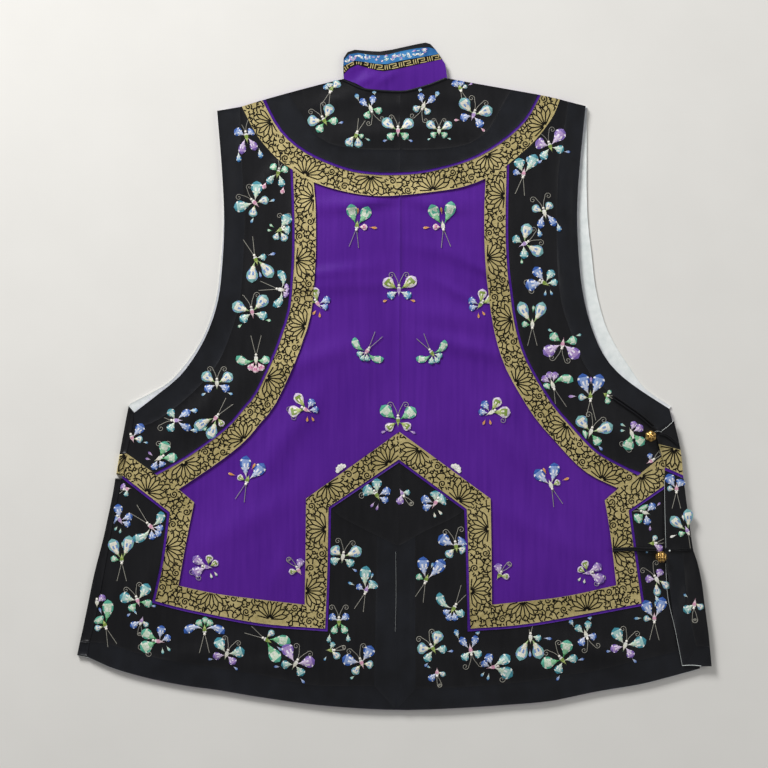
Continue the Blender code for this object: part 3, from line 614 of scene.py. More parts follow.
def clear_start(length):
    """Where in the repeat a run of ribbon starts, so that its ends cut as few flowers as can be."""

    def cut(start):
        """How far the ends reach into a flower, if the run starts there."""
        return max(
            size - abs((place - centre[0] + REPEAT / 2) % REPEAT - REPEAT / 2)
            for place in (start, start + length)
            for centre, size, *_ in HALF_FLOWERS
        )

    return min(range(int(REPEAT)), key=cut)


PAST_END = 16.0  # how far past a run's ends its pattern is drawn, before the mitre cuts it
OUTLINE_HEIGHT = 0.2
ABOVE_RIBBON = 0.04  # the middle of an outline, over the gilt thread
SELVEDGE = 0.2  # what the pattern leaves free along the ribbon's edges


def woven_outlines(node, top, level=False):
    """Draws the woven pattern on one ribbon, raised a little, as thick thread stands."""
    rows, half_width, mitred = RIBBON_LINES[node]
    corners = outline_of(node)
    spots = [Vector(row) for row in rows]
    runs = [[a, b] for a, b in zip(spots, spots[1:])] if mitred else [smooth(rows, step=6.0)]
    shape = bmesh.new()
    for number, run in enumerate(runs):
        length = sum((b - a).length for a, b in zip(run, run[1:]))
        passed = clear_start(length)
        ahead = (run[-1] - run[0]).normalized()
        mitres = []
        if number > 0:
            before = (spots[number] - spots[number - 1]).normalized()
            mitres.append((spots[number], before + ahead))
        if mitred and number + 1 < len(runs):
            after = (spots[number + 2] - spots[number + 1]).normalized()
            mitres.append((spots[number + 1], -(ahead + after)))
        lines = []
        first = math.floor((passed - PAST_END) / REPEAT)
        last = math.ceil((passed + length + PAST_END) / REPEAT)
        for repeat in range(first, last):
            for line in weave:
                alongs = [repeat * REPEAT + point.x - passed for point in line]
                if min(alongs) > -PAST_END and max(alongs) < length + PAST_END:
                    lines.append([
                        beside(run, along, point.y * half_width / HALF_RIBBON)
                        for along, point in zip(alongs, line)
                    ])
        for stretch in kept(lines, corners, SELVEDGE, mitres):
            points = [point.to_3d() for point in stretch]
            tube(shape, points, OUTLINE_WIDTH / 2, OUTLINE_HEIGHT)
    put(node + "_outlines", shape, black_warp, top + ABOVE_RIBBON, level)


for node in RIBBONS:
    woven_outlines(node, BORDER_TOP)

# The piping beside each ribbon: purple silk over a cord, caught in the seam, so it stands up
# as a round ridge.

# The same silk as the ground, pulled tight on the bias, its threads drawn as coarse. Its darker
# purple is painted shade of the seam it lies in.
piping_silk_painted_shade = woven(
    "purple_silk_piping_painted_shade", "#381372", "#4F1E90", (300, 300, 300), 0.0009, 0.3, 0.45,
    Specular_IOR_Level=0.15,
)
ROUND_EDGE = ((0.0, -1.1), (0.35, -0.45), (0.8, -0.1))
PIPING_TOP = 4.7
PIPING_DEPTH = 1.6


def piping(node, top):
    """A round ridge of cloth in its solid's place."""
    shape = turned_in(outline_of(node), ROUND_EDGE, PIPING_DEPTH)
    piece = put(node + "_cloth", shape, piping_silk_painted_shade, top)
    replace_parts(piece, node)


for node in RIBBONS:
    piping(node.replace("ribbon", "piping"), PIPING_TOP)

# The left side: the front's own edge, with the same border, ribbon and band, folded up beside
# the back. The fold is its outer edge.
SIDE_FOLD = ((0.0, -2.2), (0.5, -1.1), (1.3, -0.35), (3.0, 0.0))
for node, material, slot in (
    ("side_border_upper", black_satin, "black_satin"),
    ("side_ribbon", gilt_ribbon, "gold_ribbon"),
    ("side_border_lower", black_satin, "black_satin"),
    ("side_hem_band", plain_satin, "plain_black_satin"),
):
    cloth(
        node, material, BORDER_TOP, BORDER_TOP, SIDE_FOLD, CREASED_CELL, level=True,
    )

woven_outlines("side_ribbon", BORDER_TOP, level=True)

# The right side: the front's own edge, with the same border, ribbon, piping and bands, wrapped
# over the back's. The two buttons hold it there.
WRAP_TOP = 6.1
for node, material, slot in (
    ("wrap_border_upper", black_satin, "black_satin"),
    ("wrap_ribbon", gilt_ribbon, "gold_ribbon"),
    ("wrap_border_lower", black_satin, "black_satin"),
    ("wrap_band", plain_satin, "plain_black_satin"),
    ("wrap_hem_band", plain_satin, "plain_black_satin"),
):
    cloth(
        node, material, WRAP_TOP, LINED, SEWN_EDGE, CREASED_CELL,
    )
piping("wrap_piping", WRAP_TOP)
woven_outlines("wrap_ribbon", WRAP_TOP)

# The stand collar, pressed flat: purple silk, on which a key-fret ribbon and a blue ribbon are
# sewn side by side. Its upper edge is bound in black satin.

# Blue silk ribbon: patches of royal blue and of a paler sky blue. Real threads are 0.2 mm apart,
# drawn at 0.9 mm.
blue_ribbon = woven(
    "blue_silk_ribbon", "#164A86", "#3E86BE", (140, 80, 140), 0.0009, 0.3, 0.45,
    Specular_IOR_Level=0.2,
)
COLLAR_CELL = 2.5
cloth(
    "collar_wall", purple_silk, GROUND_TOP, LINED, cell=COLLAR_CELL,
)
for node, material, slot in (
    ("collar_silk", purple_silk, "purple_silk"),
    ("collar_fret_ribbon", black_warp, "gold_ribbon"),
    ("collar_blue_ribbon", blue_ribbon, "blue_ribbon"),
    ("collar_binding", plain_satin, "plain_black_satin"),
):
    cloth(
        node, material, BORDER_TOP, SEWN_ON, RIBBON_EDGE, COLLAR_CELL,
    )

# The fret ribbon's pattern: gilt thread woven into black silk, which stands up a little. Pairs of
# bars take turns with key frets.
FRET_LINE = (
    (-53.5, 321.5), (-40.5, 328.5), (-25.5, 326), (-11, 324), (4, 326.5), (19, 329.5),
    (33.5, 332.5), (50, 336),
)
FRET_UNIT = (
    ((0.8, -2.5), (0.8, 2.5)), ((3.0, -2.5), (3.0, 2.5)),
    ((5.4, -2.3), (5.4, 2.2), (12.6, 2.2), (12.6, -0.2), (8.6, -0.2)), ((7.4, -2.3), (14.4, -2.3)),
)
FRET_REPEAT = 15.2
FRET_UNITS = 8
FRET_WIDTH, FRET_HEIGHT = 0.5, 0.25  # half of what a gilt thread measures
FRET_SELVEDGE = 0.3
fret = bmesh.new()
fret_path = smooth(FRET_LINE, step=3.0)
fret_corners = outline_of("collar_fret_ribbon")
for unit in range(FRET_UNITS):
    lines = [
        [beside(fret_path, unit * FRET_REPEAT + along, across) for along, across in line]
        for line in FRET_UNIT
    ]
    for stretch in kept([finely(line, step=1.0) for line in lines], fret_corners, FRET_SELVEDGE):
        tube(fret, [spot.to_3d() for spot in stretch], FRET_WIDTH, FRET_HEIGHT)
put("collar_fret", fret, gilt_ribbon, BORDER_TOP + 0.05)

# The embroidery: butterflies in coloured silk floss, worked in satin stitch, so that each wing
# stands up a little and its threads run along it. Feelers are couched in a fine grey thread.

# Silk floss: it shines along its threads. Real threads are 0.3 mm wide, drawn at 0.6 mm.
THREAD = 0.6
silk_floss, floss_tree, floss_shader = blank("silk_floss", 0.4, Specular_IOR_Level=0.35)
across_stitches = add(floss_tree, "ShaderNodeAttribute", attribute_name="across")
turns = add(
    floss_tree, "ShaderNodeMath", {0: across_stitches.outputs["Fac"], 1: 2 * math.pi / THREAD},
    operation="MULTIPLY",
)
ridges = add(floss_tree, "ShaderNodeMath", {0: turns.outputs[0]}, operation="SINE")
floss_bump = add(
    floss_tree, "ShaderNodeBump",
    {"Height": ridges.outputs[0], "Strength": 0.4, "Distance": 0.0002},
)
floss_tree.links.new(floss_bump.outputs[0], floss_shader.inputs["Normal"])
dyed = add(floss_tree, "ShaderNodeAttribute", attribute_name="dye")
floss_place = add(floss_tree, "ShaderNodeTexCoord").outputs["Object"]
uneven_dye = add(floss_tree, "ShaderNodeTexNoise", {"Vector": floss_place, "Scale": 700.0})
shade = add(
    floss_tree, "ShaderNodeMapRange",
    {
        "Value": uneven_dye.outputs[0], "From Min": 0.3, "From Max": 0.7, "To Min": 0.75,
        "To Max": 1.05,
    },
)
floss_colour = add(
    floss_tree, "ShaderNodeVectorMath", {0: dyed.outputs["Color"], "Scale": shade.outputs[0]},
    operation="SCALE",
)
floss_tree.links.new(floss_colour.outputs[0], floss_shader.inputs["Base Color"])
# Fine twisted thread, grey with age. Real turns are 0.3 mm apart, drawn at 0.6 mm.
feeler_thread = woven(
    "grey_couched_thread", "#7E7B74", "#A8A598", (900, 900, 900), 0.0006, 0.3, 0.6
)

# Each letter's five dyes: at a wing's root, inside, outside, along its rim and in its spots.
DYES = {
    "g": ("#4FA767", "#8FCB9C", "#CFE4CB", "#57AE94", "#E9ECDF"),
    "t": ("#EAECDD", "#CFE4CE", "#A9D2CC", "#3F8FA0", "#F4F6F0"),
    "b": ("#EDE8F0", "#C4CFE9", "#8FA8DA", "#2F5CAE", "#F4F4F8"),
    "l": ("#E6D4EC", "#D9C4E4", "#B293CC", "#7F62B4", "#F4EAF8"),
    "y": ("#7F9C40", "#B9C878", "#87A048", "#DCCBE6", "#F6F1E0"),
    "c": ("#B3CB92", "#F2EDDA", "#EFEEDF", "#7DB3B4", "#7F9FD3"),
    "p": ("#E7A6BE", "#F2D5DA", "#E3A6BF", "#F3E2E4", "#C05C92"),
    "o": ("#EFB77A", "#E6A25C", "#E19A55", "#EDBE88", "#E6A25C"),
    "s": ("#F1F1E6", "#DCE9E2", "#8DBBD8", "#2F70B0", "#F6F6F0"),
    "w": ("#F4F2EC", "#F4F2EC", "#F4F2EC", "#EDEAE2", "#F4F2EC"),
}
LIFT = 0.9  # how high satin stitch stands at the middle of a wing
BANDS = (0.22, 0.5, 0.86)  # where a wing's second, third and fourth dye begin
HALF_BREADTH = 0.56  # of a wing's breadth, at its fullest
FULLEST = 1.8  # 1 is fullest at the middle, and more is further towards the rim
THINNEST = 0.12
BROAD, VERY_BROAD = 4, 7  # a broad wing has spots, and a very broad one a scalloped rim
SCALLOP = 0.08


def compass(degrees):
    """The direction at an angle clockwise from +Y."""
    turn = math.radians(degrees)
    return Vector((math.sin(turn), math.cos(turn)))


def new_floss():
    """An empty drawing whose faces can be dyed."""
    shape = bmesh.new()
    shape.loops.layers.float_color.new("dye")
    shape.verts.layers.float.new("across")
    return shape


def petal(shape, root, heading, reach, breadth, bend, dyes):
    """One closed area of satin stitch from its root along a heading, clockwise from +Y."""
    dye = shape.loops.layers.float_color["dye"]
    across = shape.verts.layers.float["across"]
    colours = [linear(code) for code in dyes]
    steps, columns = (12, 6) if breadth > BROAD else (6, 2)
    place = Vector(root)
    rows = []
    for i in range(steps + 1):
        share = i / steps
        ahead = compass(heading + bend * (share - 0.3))
        if i:
            place = place + ahead * (reach / steps)
        fullness = abs(math.sin(math.pi * share**FULLEST)) ** (1.1 if share < 0.6 else 0.6)
        half = max(breadth * HALF_BREADTH * fullness, THINNEST)
        if breadth > VERY_BROAD:
            half *= 1 - SCALLOP * abs(math.cos(4.5 * math.pi * share))
        row = []
        for j in range(columns + 1):
            offset = 2 * j / columns - 1
            spot = place + Vector((ahead.y, -ahead.x)) * offset * half
            dome = math.sqrt(1 - offset**2) * min(1.0, half)
            up = 0.05 + LIFT * dome * min(1.0, breadth / BROAD)
            corner = shape.verts.new((spot.x, spot.y, up))
            corner[across] = offset * half
            row.append(corner)
        rows.append(row)
    for i in range(steps):
        share = (i + 0.5) / steps
        for j in range(columns):
            offset = abs((2 * j + 1) / columns - 1)
            band = sum(share >= begin for begin in BANDS)
            if columns > 2 and share > 0.3 and offset > 0.7:
                band = 4 if i % 4 == 1 else 3
            elif columns > 2 and i in (6, 7) and j in (2, 4):
                band = 4
            face = shape.faces.new((rows[i][j + 1], rows[i + 1][j + 1], rows[i + 1][j], rows[i][j]))
            for loop in face.loops:
                loop[dye] = colours[band]
    border = rows[0] + [row[-1] for row in rows[1:]] + rows[-1][-2::-1]
    border += [row[0] for row in rows[-2:0:-1]]
    for loop in shape.faces.new(border).loops:
        loop[dye] = colours[3]


KNOT_RINGS = ((1.0, 0.3), (0.85, 0.95))  # share of the knot's radius, and height
KNOT_TOP = 1.35


def knot(shape, spot, radius, code):
    """A knot of thread: a small dome that stands on the stitches."""
    dye = shape.loops.layers.float_color["dye"]
    rings = []
    for size, up in KNOT_RINGS:
        rings.append([
            shape.verts.new((*round_from(spot, radius * size, k * math.pi / 3), up))
            for k in range(6)
        ])
    peak = shape.verts.new((spot.x, spot.y, KNOT_TOP))
    faces = [shape.faces.new(rings[0][::-1])]
    for k in range(6):
        a, b, c, d = rings[0][k - 1], rings[0][k], rings[1][k], rings[1][k - 1]
        faces += [shape.faces.new((a, b, c, d)), shape.faces.new((d, c, peak))]
    for face in faces:
        for loop in face.loops:
            loop[dye] = linear(code)


# The kinds of butterfly, head towards +Y, as areas of stitches: root, heading, reach, breadth,
# bend and which of its three letters dyes it. A pair is drawn on both sides.
KINDS = {
    "open": (
        ("pair", (1.0, 1.4), 57, 19.0, 11.0, -16, 0), ("pair", (1.0, -1.0), 116, 13.0, 8.0, 18, 1),
        ("pair", (11.0, -9.0), 112, 6.0, 2.2, 0, 2),
    ),
    "vee": (
        ("pair", (0.9, 0.0), 152, 24.0, 11.0, 24, 0), ("one", (1.6, 2.0), 98, 10.0, 6.0, 12, 1),
        ("one", (13.0, 0.6), 92, 8.0, 2.4, 0, 2), ("one", (-0.6, -11.0), 184, 7.0, 2.2, 0, 2),
    ),
    "cup": (
        ("pair", (1.0, 0.6), 96, 20.0, 7.6, -92, 0), ("pair", (1.2, -1.8), 138, 9.0, 6.4, 20, 1),
        ("one", (0, -3.0), 180, 9.0, 5.6, 0, 1),
    ),
    "side": (
        ("one", (-0.8, 1.0), -30, 18.0, 11.0, -16, 0), ("one", (1.2, 1.0), 22, 17.0, 9.0, 14, 0),
        ("one", (1.8, -0.6), 92, 12.0, 7.6, 14, 1), ("one", (0.6, -2.0), 140, 10.0, 6.4, 0, 1),
        ("one", (-5.0, -4.0), -112, 6.0, 2.2, 0, 2), ("one", (-3.0, -7.5), -140, 6.0, 2.1, 0, 2),
    ),
    "long": (
        ("pair", (0.9, 1.6), 52, 11.0, 7.4, 0, 0), ("pair", (1.0, -0.6), 146, 14.0, 6.6, 30, 1),
        ("pair", (9.4, -11.4), 176, 9.0, 4.2, 0, 2),
    ),
    "bud": (
        ("one", (0.6, 0.6), 38, 15.0, 9.0, 12, 0), ("one", (-0.6, -0.4), -62, 11.0, 6.4, -10, 1),
        ("one", (8.0, -5.0), 122, 6.2, 2.4, 0, 2),
    ),
}
# How its two feelers run, and how far each leans from straight ahead, in degrees.
FEELERS = {
    "open": ("curled", 0, 0), "vee": ("straight", 0, 0), "cup": ("straight", 0, 0),
    "side": ("curled", -74, -46), "long": ("curled", 0, 0), "bud": ("curled", -52, 20),
}
HEAD = Vector((0, 5.2))
HEAD_RADIUS = 1.5
# Its striped tail and its white breast: foot, length and breadth.
TAIL, BREAST = ((0, -5.6), 9.6, 3.6), ((0, -1.2), 5.6, 3.4)
SHORTEST_WING = 4
FEELER_WIDTH, FEELER_HEIGHT = 0.3, 0.22  # half of what the thread measures
ABOVE_STITCHES = 0.12  # the middle of a feeler, over the cloth


def on_cloth_of(spot, ground):
    """Whether a point lies on one of the pieces of cloth given by their outlines."""
    return not ground or any(inside(np.array([spot]), corners)[0] for corners in ground)


def placed(x, y, heading, size):
    """What carries a butterfly's own points to its place. A side of -1 mirrors them."""
    ahead = compass(heading)
    right = Vector((ahead.y, -ahead.x))
    return lambda spot, side=1: (
        Vector((x, y)) + (right * spot[0] * side + ahead * spot[1]) * size
    )


def butterflies(name, table, top, nodes=()):
    """Works a group of butterflies on those pieces of cloth, at that height: one mesh of floss,
    one of feelers. A row is place, heading, size, kind ("~" mirrors it) and dyes. What would
    cross the seam beside the cloth was cut off by it, so it is made shorter or left out."""
    ground = [outline_of(node) for node in nodes]
    floss, feelers = new_floss(), bmesh.new()
    chance = random.Random(len(table) * 101)
    for x, y, heading, size, kind, dyes in table:
        mirror = -1 if kind.endswith("~") else 1
        kind = kind.rstrip("~")
        on_cloth = placed(x, y, heading, size)
        for pairing, root, aim, reach, breadth, bend, letter in KINDS[kind]:
            for side in (mirror, -mirror) if pairing == "pair" else (mirror,):
                foot = on_cloth(root, side)
                towards = heading + (aim + chance.uniform(-6, 6)) * side
                length = reach * size * chance.uniform(0.9, 1.1)
                way = compass(towards + bend * side * 0.25)
                while length > SHORTEST_WING and not on_cloth_of(foot + way * length, ground):
                    length *= 0.85
                if length > SHORTEST_WING and on_cloth_of(foot + way * length, ground):
                    petal(
                        floss, foot, towards, length, breadth * size, bend * side,
                        DYES[dyes[letter]],
                    )
        stripe = chance.choice(("p", "c", "l", "y"))
        for (foot, reach, breadth), dye in ((TAIL, stripe), (BREAST, "w")):
            petal(floss, on_cloth(foot), heading, reach * size, breadth, 0, DYES[dye])
        knot(floss, on_cloth(HEAD), HEAD_RADIUS, "#F4EFE4")
        run, *leans = FEELERS[kind]
        for side, lean in zip((mirror, -mirror), leans):
            if run == "straight":
                drawn = [Vector((0.6 + 4.4 * k / 6, 1.0 + 17.5 * k / 6)) for k in range(7)]
            else:
                drawn = [Vector((0.6 + 3.6 * (k / 6) ** 1.6, 1.0 + 9.0 * k / 6)) for k in range(6)]
                drawn += scroll((7.6, 10.2), 180, -1, 3.4, 1.3, 14)
            leant = Matrix.Rotation(math.radians(-lean * side * mirror), 2)
            line = [on_cloth(HEAD + leant @ spot, side) for spot in drawn]
            while len(line) > 2 and not all(on_cloth_of(spot, ground) for spot in line):
                line.pop()
            tube(feelers, [spot.to_3d() for spot in line], FEELER_WIDTH, FEELER_HEIGHT)
    put(name, floss, silk_floss, top)
    put(name + "_feelers", feelers, feeler_thread, top + ABOVE_STITCHES)


ON_SILK = (
    (-39, 159, 188, 1.0, "vee~", "gpo"), (51, 159, 172, 1.0, "vee", "gpo"),
    (5, 90, 0, 1.05, "open", "yso"), (-80, 76, -35, 1.0, "side", "ybo"),
    (90, 75, 35, 1.0, "side~", "ybo"), (-29, 26, 35, 0.95, "cup", "gtp"),
    (40, 24, -35, 0.95, "cup~", "gtp"), (-92, -35, -60, 1.05, "side", "ybo"),
    (101, -38, 60, 1.05, "side~", "ybo"), (4, -47, 0, 1.1, "open", "gyl"),
    (-154, -108, 200, 1.0, "vee", "byo"), (164, -113, 160, 1.0, "vee~", "byo"),
    (-196, -200, -80, 1.0, "side", "lyc"), (203, -206, 80, 1.0, "side~", "lyc"),
    (-100, -204, -30, 0.9, "bud", "lyo"), (110, -209, 30, 0.9, "bud~", "lyo"),
)
ON_YOKE = (
    (-66, 302, 200, 0.8, "vee", "csb"), (-25, 282, 160, 0.95, "long~", "gbs"),
    (31, 285, 200, 0.95, "long", "cbs"), (-73, 268, -30, 1.0, "open", "cgb"),
    (-40, 253, 20, 0.75, "vee", "cgt"), (4, 257, 0, 0.95, "open", "cgb"),
    (47, 257, 0, 0.75, "open", "cgt"), (83, 274, 20, 1.05, "open", "cbp"),
    (69, 303, 160, 0.7, "vee~", "bcl"),
)
ON_LEFT_ARMHOLE = (
    (-155, 251, -10, 1.15, "long", "bls"), (-122, 213, 15, 1.0, "long", "gtp"),
    (-146, 182, -45, 1.05, "open", "tcs"), (-120, 154, 60, 1.0, "side", "tcg"),
    (-145, 122, -20, 1.05, "vee", "ctb"), (-118, 91, -80, 1.0, "cup", "tlg"),
    (-149, 67, -10, 1.1, "open", "ctg"), (-145, 17, 0, 1.1, "cup", "gpt"),
    (-186, -8, 0, 1.0, "open", "cbs"), (-228, -46, -90, 1.1, "long", "tbs"),
    (-188, -44, 40, 1.0, "vee", "cyg"), (-247, -86, 60, 1.05, "side", "gbl"),
    (-275, -65, -20, 0.85, "open", "bcs"),
)
ON_LEFT_HEM = (
    (-288, -151, -30, 1.0, "side", "bbt"), (-255, -158, -45, 1.15, "cup", "tbg"),
    (-286, -191, 180, 1.0, "vee", "cgt"), (-280, -118, -100, 0.7, "bud", "lts"),
    (-269, -236, -20, 1.0, "open", "tgb"), (-265, -256, 200, 0.8, "bud", "bcs"),
    (-312, -238, 0, 0.8, "bud", "lgs"), (-304, -260, 160, 1.0, "vee", "gcb"),
    (-247, -278, -80, 1.15, "side", "gbt"), (-199, -265, 180, 1.05, "cup", "bgl"),
    (-176, -292, 20, 1.0, "open", "tlb"), (-133, -277, -60, 1.05, "vee", "gcb"),
    (-104, -302, 30, 1.1, "open", "ltb"), (-58, -258, 0, 1.0, "long", "bgt"),
    (-67, -287, 90, 0.8, "bud", "cts"), (-34, -301, -20, 1.05, "open", "bct"),
    (-54, -190, 10, 1.05, "open", "ctb"), (-29, -223, 200, 1.0, "vee", "tbs"),
    (-18, -125, -30, 1.1, "side", "tbl"),
)
ON_RIGHT_HEM = (
    (8, -122, 150, 0.85, "bud", "lts"), (43, -133, 30, 1.15, "side~", "tbc"),
    (65, -179, -10, 1.1, "open", "bct"), (34, -212, 200, 1.05, "vee", "bgs"),
    (62, -244, 30, 1.1, "cup", "tbg"), (41, -286, -30, 1.05, "open", "ctb"),
    (45, -310, 180, 0.8, "bud", "bcs"), (80, -286, 170, 1.1, "long", "tbs"),
    (103, -305, 80, 1.15, "side~", "tbs"), (143, -275, 0, 1.05, "vee", "ctb"),
    (177, -298, -40, 1.1, "open", "gtb"), (201, -270, 160, 1.0, "long~", "bts"),
    (242, -283, 20, 1.05, "open", "tlb"), (273, -253, 180, 1.0, "vee", "bcs"),
    (276, -214, -30, 1.05, "long", "lcs"), (271, -175, 90, 0.8, "bud", "lcs"),
    (264, -143, -70, 0.95, "open", "gbl"),
)
ON_RIGHT_ARMHOLE = (
    (164, 241, -20, 1.05, "open", "ltb"), (136, 214, 190, 1.0, "vee", "tbs"),
    (158, 171, -15, 1.1, "long", "cbs"), (136, 139, 60, 1.05, "open", "ctg"),
    (158, 98, -60, 1.1, "side", "bts"), (145, 56, 180, 1.0, "vee", "cgg"),
    (177, 35, 190, 1.1, "open", "lgt"), (166, -8, 160, 1.15, "cup", "gls"),
    (206, -20, 180, 1.1, "vee", "bcl"), (222, -19, 120, 0.6, "bud", "ggg"),
    (206, -59, 20, 1.1, "open", "cgb"), (249, -59, 160, 1.05, "side~", "glt"),
    (269, -89, 60, 0.8, "bud", "tbc"),
)
ON_WRAP = (
    (296, -117, 180, 0.9, "vee", "bcs"), (307, -161, 158, 0.9, "vee", "cgw"),
    (315, -238, 190, 1.0, "bud", "tcs"),
)
butterflies("butterflies_on_silk", ON_SILK, GROUND_TOP)
for name, table, forms in (
    ("butterflies_on_yoke", ON_YOKE, ("yoke_border_left", "yoke_border_right")),
    ("butterflies_on_left_armhole", ON_LEFT_ARMHOLE, ("armhole_border_left", "armhole_band_left")),
    ("butterflies_on_left_hem", ON_LEFT_HEM, ("hem_border_left", "hem_band_left", "gore_left")),
    (
        "butterflies_on_right_hem", ON_RIGHT_HEM,
        ("hem_border_right", "hem_band_right", "gore_right"),
    ),
    (
        "butterflies_on_right_armhole", ON_RIGHT_ARMHOLE,
        ("armhole_border_right", "armhole_band_right"),
    ),
):
    butterflies(name, table, BORDER_TOP, forms)
butterflies(
    "butterflies_on_wrap", ON_WRAP, WRAP_TOP, ("wrap_border_lower", "wrap_band")
)

# The cord in the neck seam: black satin over a cord, caught between the back and the collar, so
# it stands up as a round ridge.
NECK_SEAM = (
    (-53.5, 311), (-48.5, 309), (-41, 305), (-30, 301.2), (-13.4, 299.6), (7.5, 298.8),
    (19.6, 300.8), (37.1, 306), (54.5, 313),
)
neck_seam = bmesh.new()
NECK_CORD_WIDTH, NECK_CORD_HEIGHT = 1.2, 1.0  # half of what the cord measures
neck_spots = [spot.to_3d() for spot in smooth(NECK_SEAM, step=3.0)]
tube(neck_seam, neck_spots, NECK_CORD_WIDTH, NECK_CORD_HEIGHT, sides=8)
put("neck_seam_cord", neck_seam, plain_satin, BORDER_TOP)

# The blue ribbon's flowers: sprays of three petals in white, lilac and green silk floss, worked
# in satin stitch close beside one another. No petal crosses the ribbon's edge.
SPRAY_LINE = (
    (-51, 331), (-41, 336.5), (-26.5, 334.5), (-12, 333), (2, 335), (16.5, 338), (30.5, 340.5),
    (44, 341.5),
)
sprays = new_floss()
spray_path = smooth(SPRAY_LINE, step=3.0)
chance = random.Random(3)
SPRAY_DYES = ("sws", "lwl", "wls", "twt", "wsw", "lsl")
blue_corners = [outline_of("collar_blue_ribbon")]
FIRST_SPRAY, SPRAY_STEP, LAST_SPRAY = 1.5, 2.7, 35
SPARSE = (25, 40)  # where the flowers are small and show more of the ribbon
for number in range(LAST_SPRAY + 1):
    along = FIRST_SPRAY + SPRAY_STEP * number
    heart = beside(spray_path, along, chance.uniform(-4.6, 3.0))
    size = 0.55 if SPARSE[0] < along < SPARSE[1] else chance.uniform(0.75, 1.1)
    heading = chance.uniform(-80, 80)
    for aim, letter in zip((-42, 0, 42), chance.choice(SPRAY_DYES)):
        reach = size * chance.uniform(3.6, 5.6)
        if on_cloth_of(heart + compass(heading + aim) * reach, blue_corners):
            petal(
                sprays, heart, heading + aim, reach, size * chance.uniform(1.3, 2.1),
                chance.uniform(-35, 35), DYES[letter],
            )
put("collar_sprays", sprays, silk_floss, BORDER_TOP)

# The half flowers beside the point where the hem ribbons meet: five petals each of white silk
# floss, worked on the purple ground in satin stitch.
ROUNDS = ((-54.8, -98.2, -38), (63.6, -98.2, 38))  # heart, and the heading of the middle petal
PETAL_LENGTH, PETAL_BREADTH = 7.0, 3.9
rounds = new_floss()
for x, y, lean in ROUNDS:
    for aim in (-64, -32, 0, 32, 64):
        petal(rounds, (x, y), lean + aim, PETAL_LENGTH, PETAL_BREADTH, 0, DYES["w"])
put("half_flowers_on_silk", rounds, silk_floss, GROUND_TOP)

# The fastenings: two ball buttons on doubled cords of black silk, and the cord loops that go over
# them. The upper ball is faceted, and the lower one looks like a knot of wire.

# Black silk cord: two strands twisted together. Real turns are 0.6 mm apart, drawn as crossed
# ridges 1.2 mm apart, which break the light along it.
black_cord = woven(
    "black_silk_cord", "#0B0B0D", "#17171B", (1500, 1500, 1500), 0.0012, 0.6, 0.5,
    Specular_IOR_Level=0.2,
)
# Cast brass, rubbed bright on what stands out, with painted shade: dark brown in its hollows.
brass, brass_tree, brass_shader = blank("cast_brass", 0.32, Metallic=0.85)
# How deep each hollow is darkens the brass towards brown: painted shade.
hollow = add(brass_tree, "ShaderNodeAttribute", attribute_name="hollow")
brass_shade_ramp = add(brass_tree, "ShaderNodeValToRGB", {0: hollow.outputs["Fac"]})
for end, code in zip(brass_shade_ramp.color_ramp.elements, ("#E9BE6E", "#4A2C10")):
    end.color = linear(code)
brass_tree.links.new(brass_shade_ramp.outputs[0], brass_shader.inputs["Base Color"])
# Where each doubled cord lies, from its end to its button, its height, its cords' radius, and how
# far each lies from the middle line.
CORDS = {
    "button_strip_upper": (
        ((230, -21.5), (244, -31), (258, -41), (271, -52)), 6.0, 0.95, 1.35,
    ),
    "button_strip_lower": (
        ((229, -182), (241, -181.2), (253, -181), (274, -181.5)), 6.2, 1.15, 1.05,
    ),
    "button_loop_upper": (
        ((277.5, -60), (283, -61), (288, -63.5), (297, -71)), 7.4, 0.8, 0.75,
    ),
    "button_loop_lower": (
        ((285.5, -181.5), (294, -182.2), (303, -181.6), (311, -181.2)), 7.4, 0.55, 0.7,
    ),
}
CORD_STEP = 2.0
for node, (rows, height, radius, apart) in CORDS.items():
    shape = bmesh.new()
    line = smooth(rows, CORD_STEP)
    for side in (1, -1):
        tube(
            shape,
            [beside(line, step * CORD_STEP, side * apart).to_3d() for step in range(len(line))],
            radius, radius, sides=8,
        )
    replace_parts(put(node + "_cords", shape, black_cord, height), node)

BALLS = {"button_upper": (268.5, -62.5), "button_lower": (279.5, -189)}
BALL = 6.2
DEEPEST = 0.9  # of the hollows cut or wound into a ball


def facets(way):
    """How deep the upper ball is cut in a direction: a star of six rays with a hollow heart."""
    turn = math.atan2(way.y, way.x)
    outward = math.hypot(way.x, way.y)
    return 0.5 + 0.28 * math.cos(6 * turn) + 0.22 * math.cos(11 * outward)


def windings(way):
    """How deep the lower ball is cut in a direction: wires that cross over one another."""
    return abs(math.sin(7 * way.x + 2 * way.z)) * abs(math.sin(7 * way.y - 3 * way.z)) ** 0.5


for (node, (x, y)), cut in zip(BALLS.items(), (facets, windings)):
    shape = bmesh.new()
    bmesh.ops.create_icosphere(shape, subdivisions=5, radius=1.0)
    depth = shape.verts.layers.float.new("hollow")
    for vertex in shape.verts:
        deep = cut(vertex.co)
        vertex[depth] = deep
        vertex.co = vertex.co * (BALL - DEEPEST * deep)
        vertex.co.x += x
        vertex.co.y += y
    middle = (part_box(node)[0].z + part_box(node)[1].z) / 2 / MM
    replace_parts(put(node + "_ball", shape, brass, middle, level=True), node)

# The stitch that holds the lower loop down: white cotton thread, wound over the cord and knotted
# once, so it shows as one short thick bar.
STITCH_ENDS = ((287.8, -182.6, 0.6), (289.2, -182.6, 0.6))
STITCH_RADIUS = 0.9
STITCH_HEIGHT = 7.6
stitch = bmesh.new()
tube(stitch, [Vector(end) for end in STITCH_ENDS], STITCH_RADIUS, STITCH_RADIUS, sides=8)
put("loop_stitch", stitch, cotton, STITCH_HEIGHT)

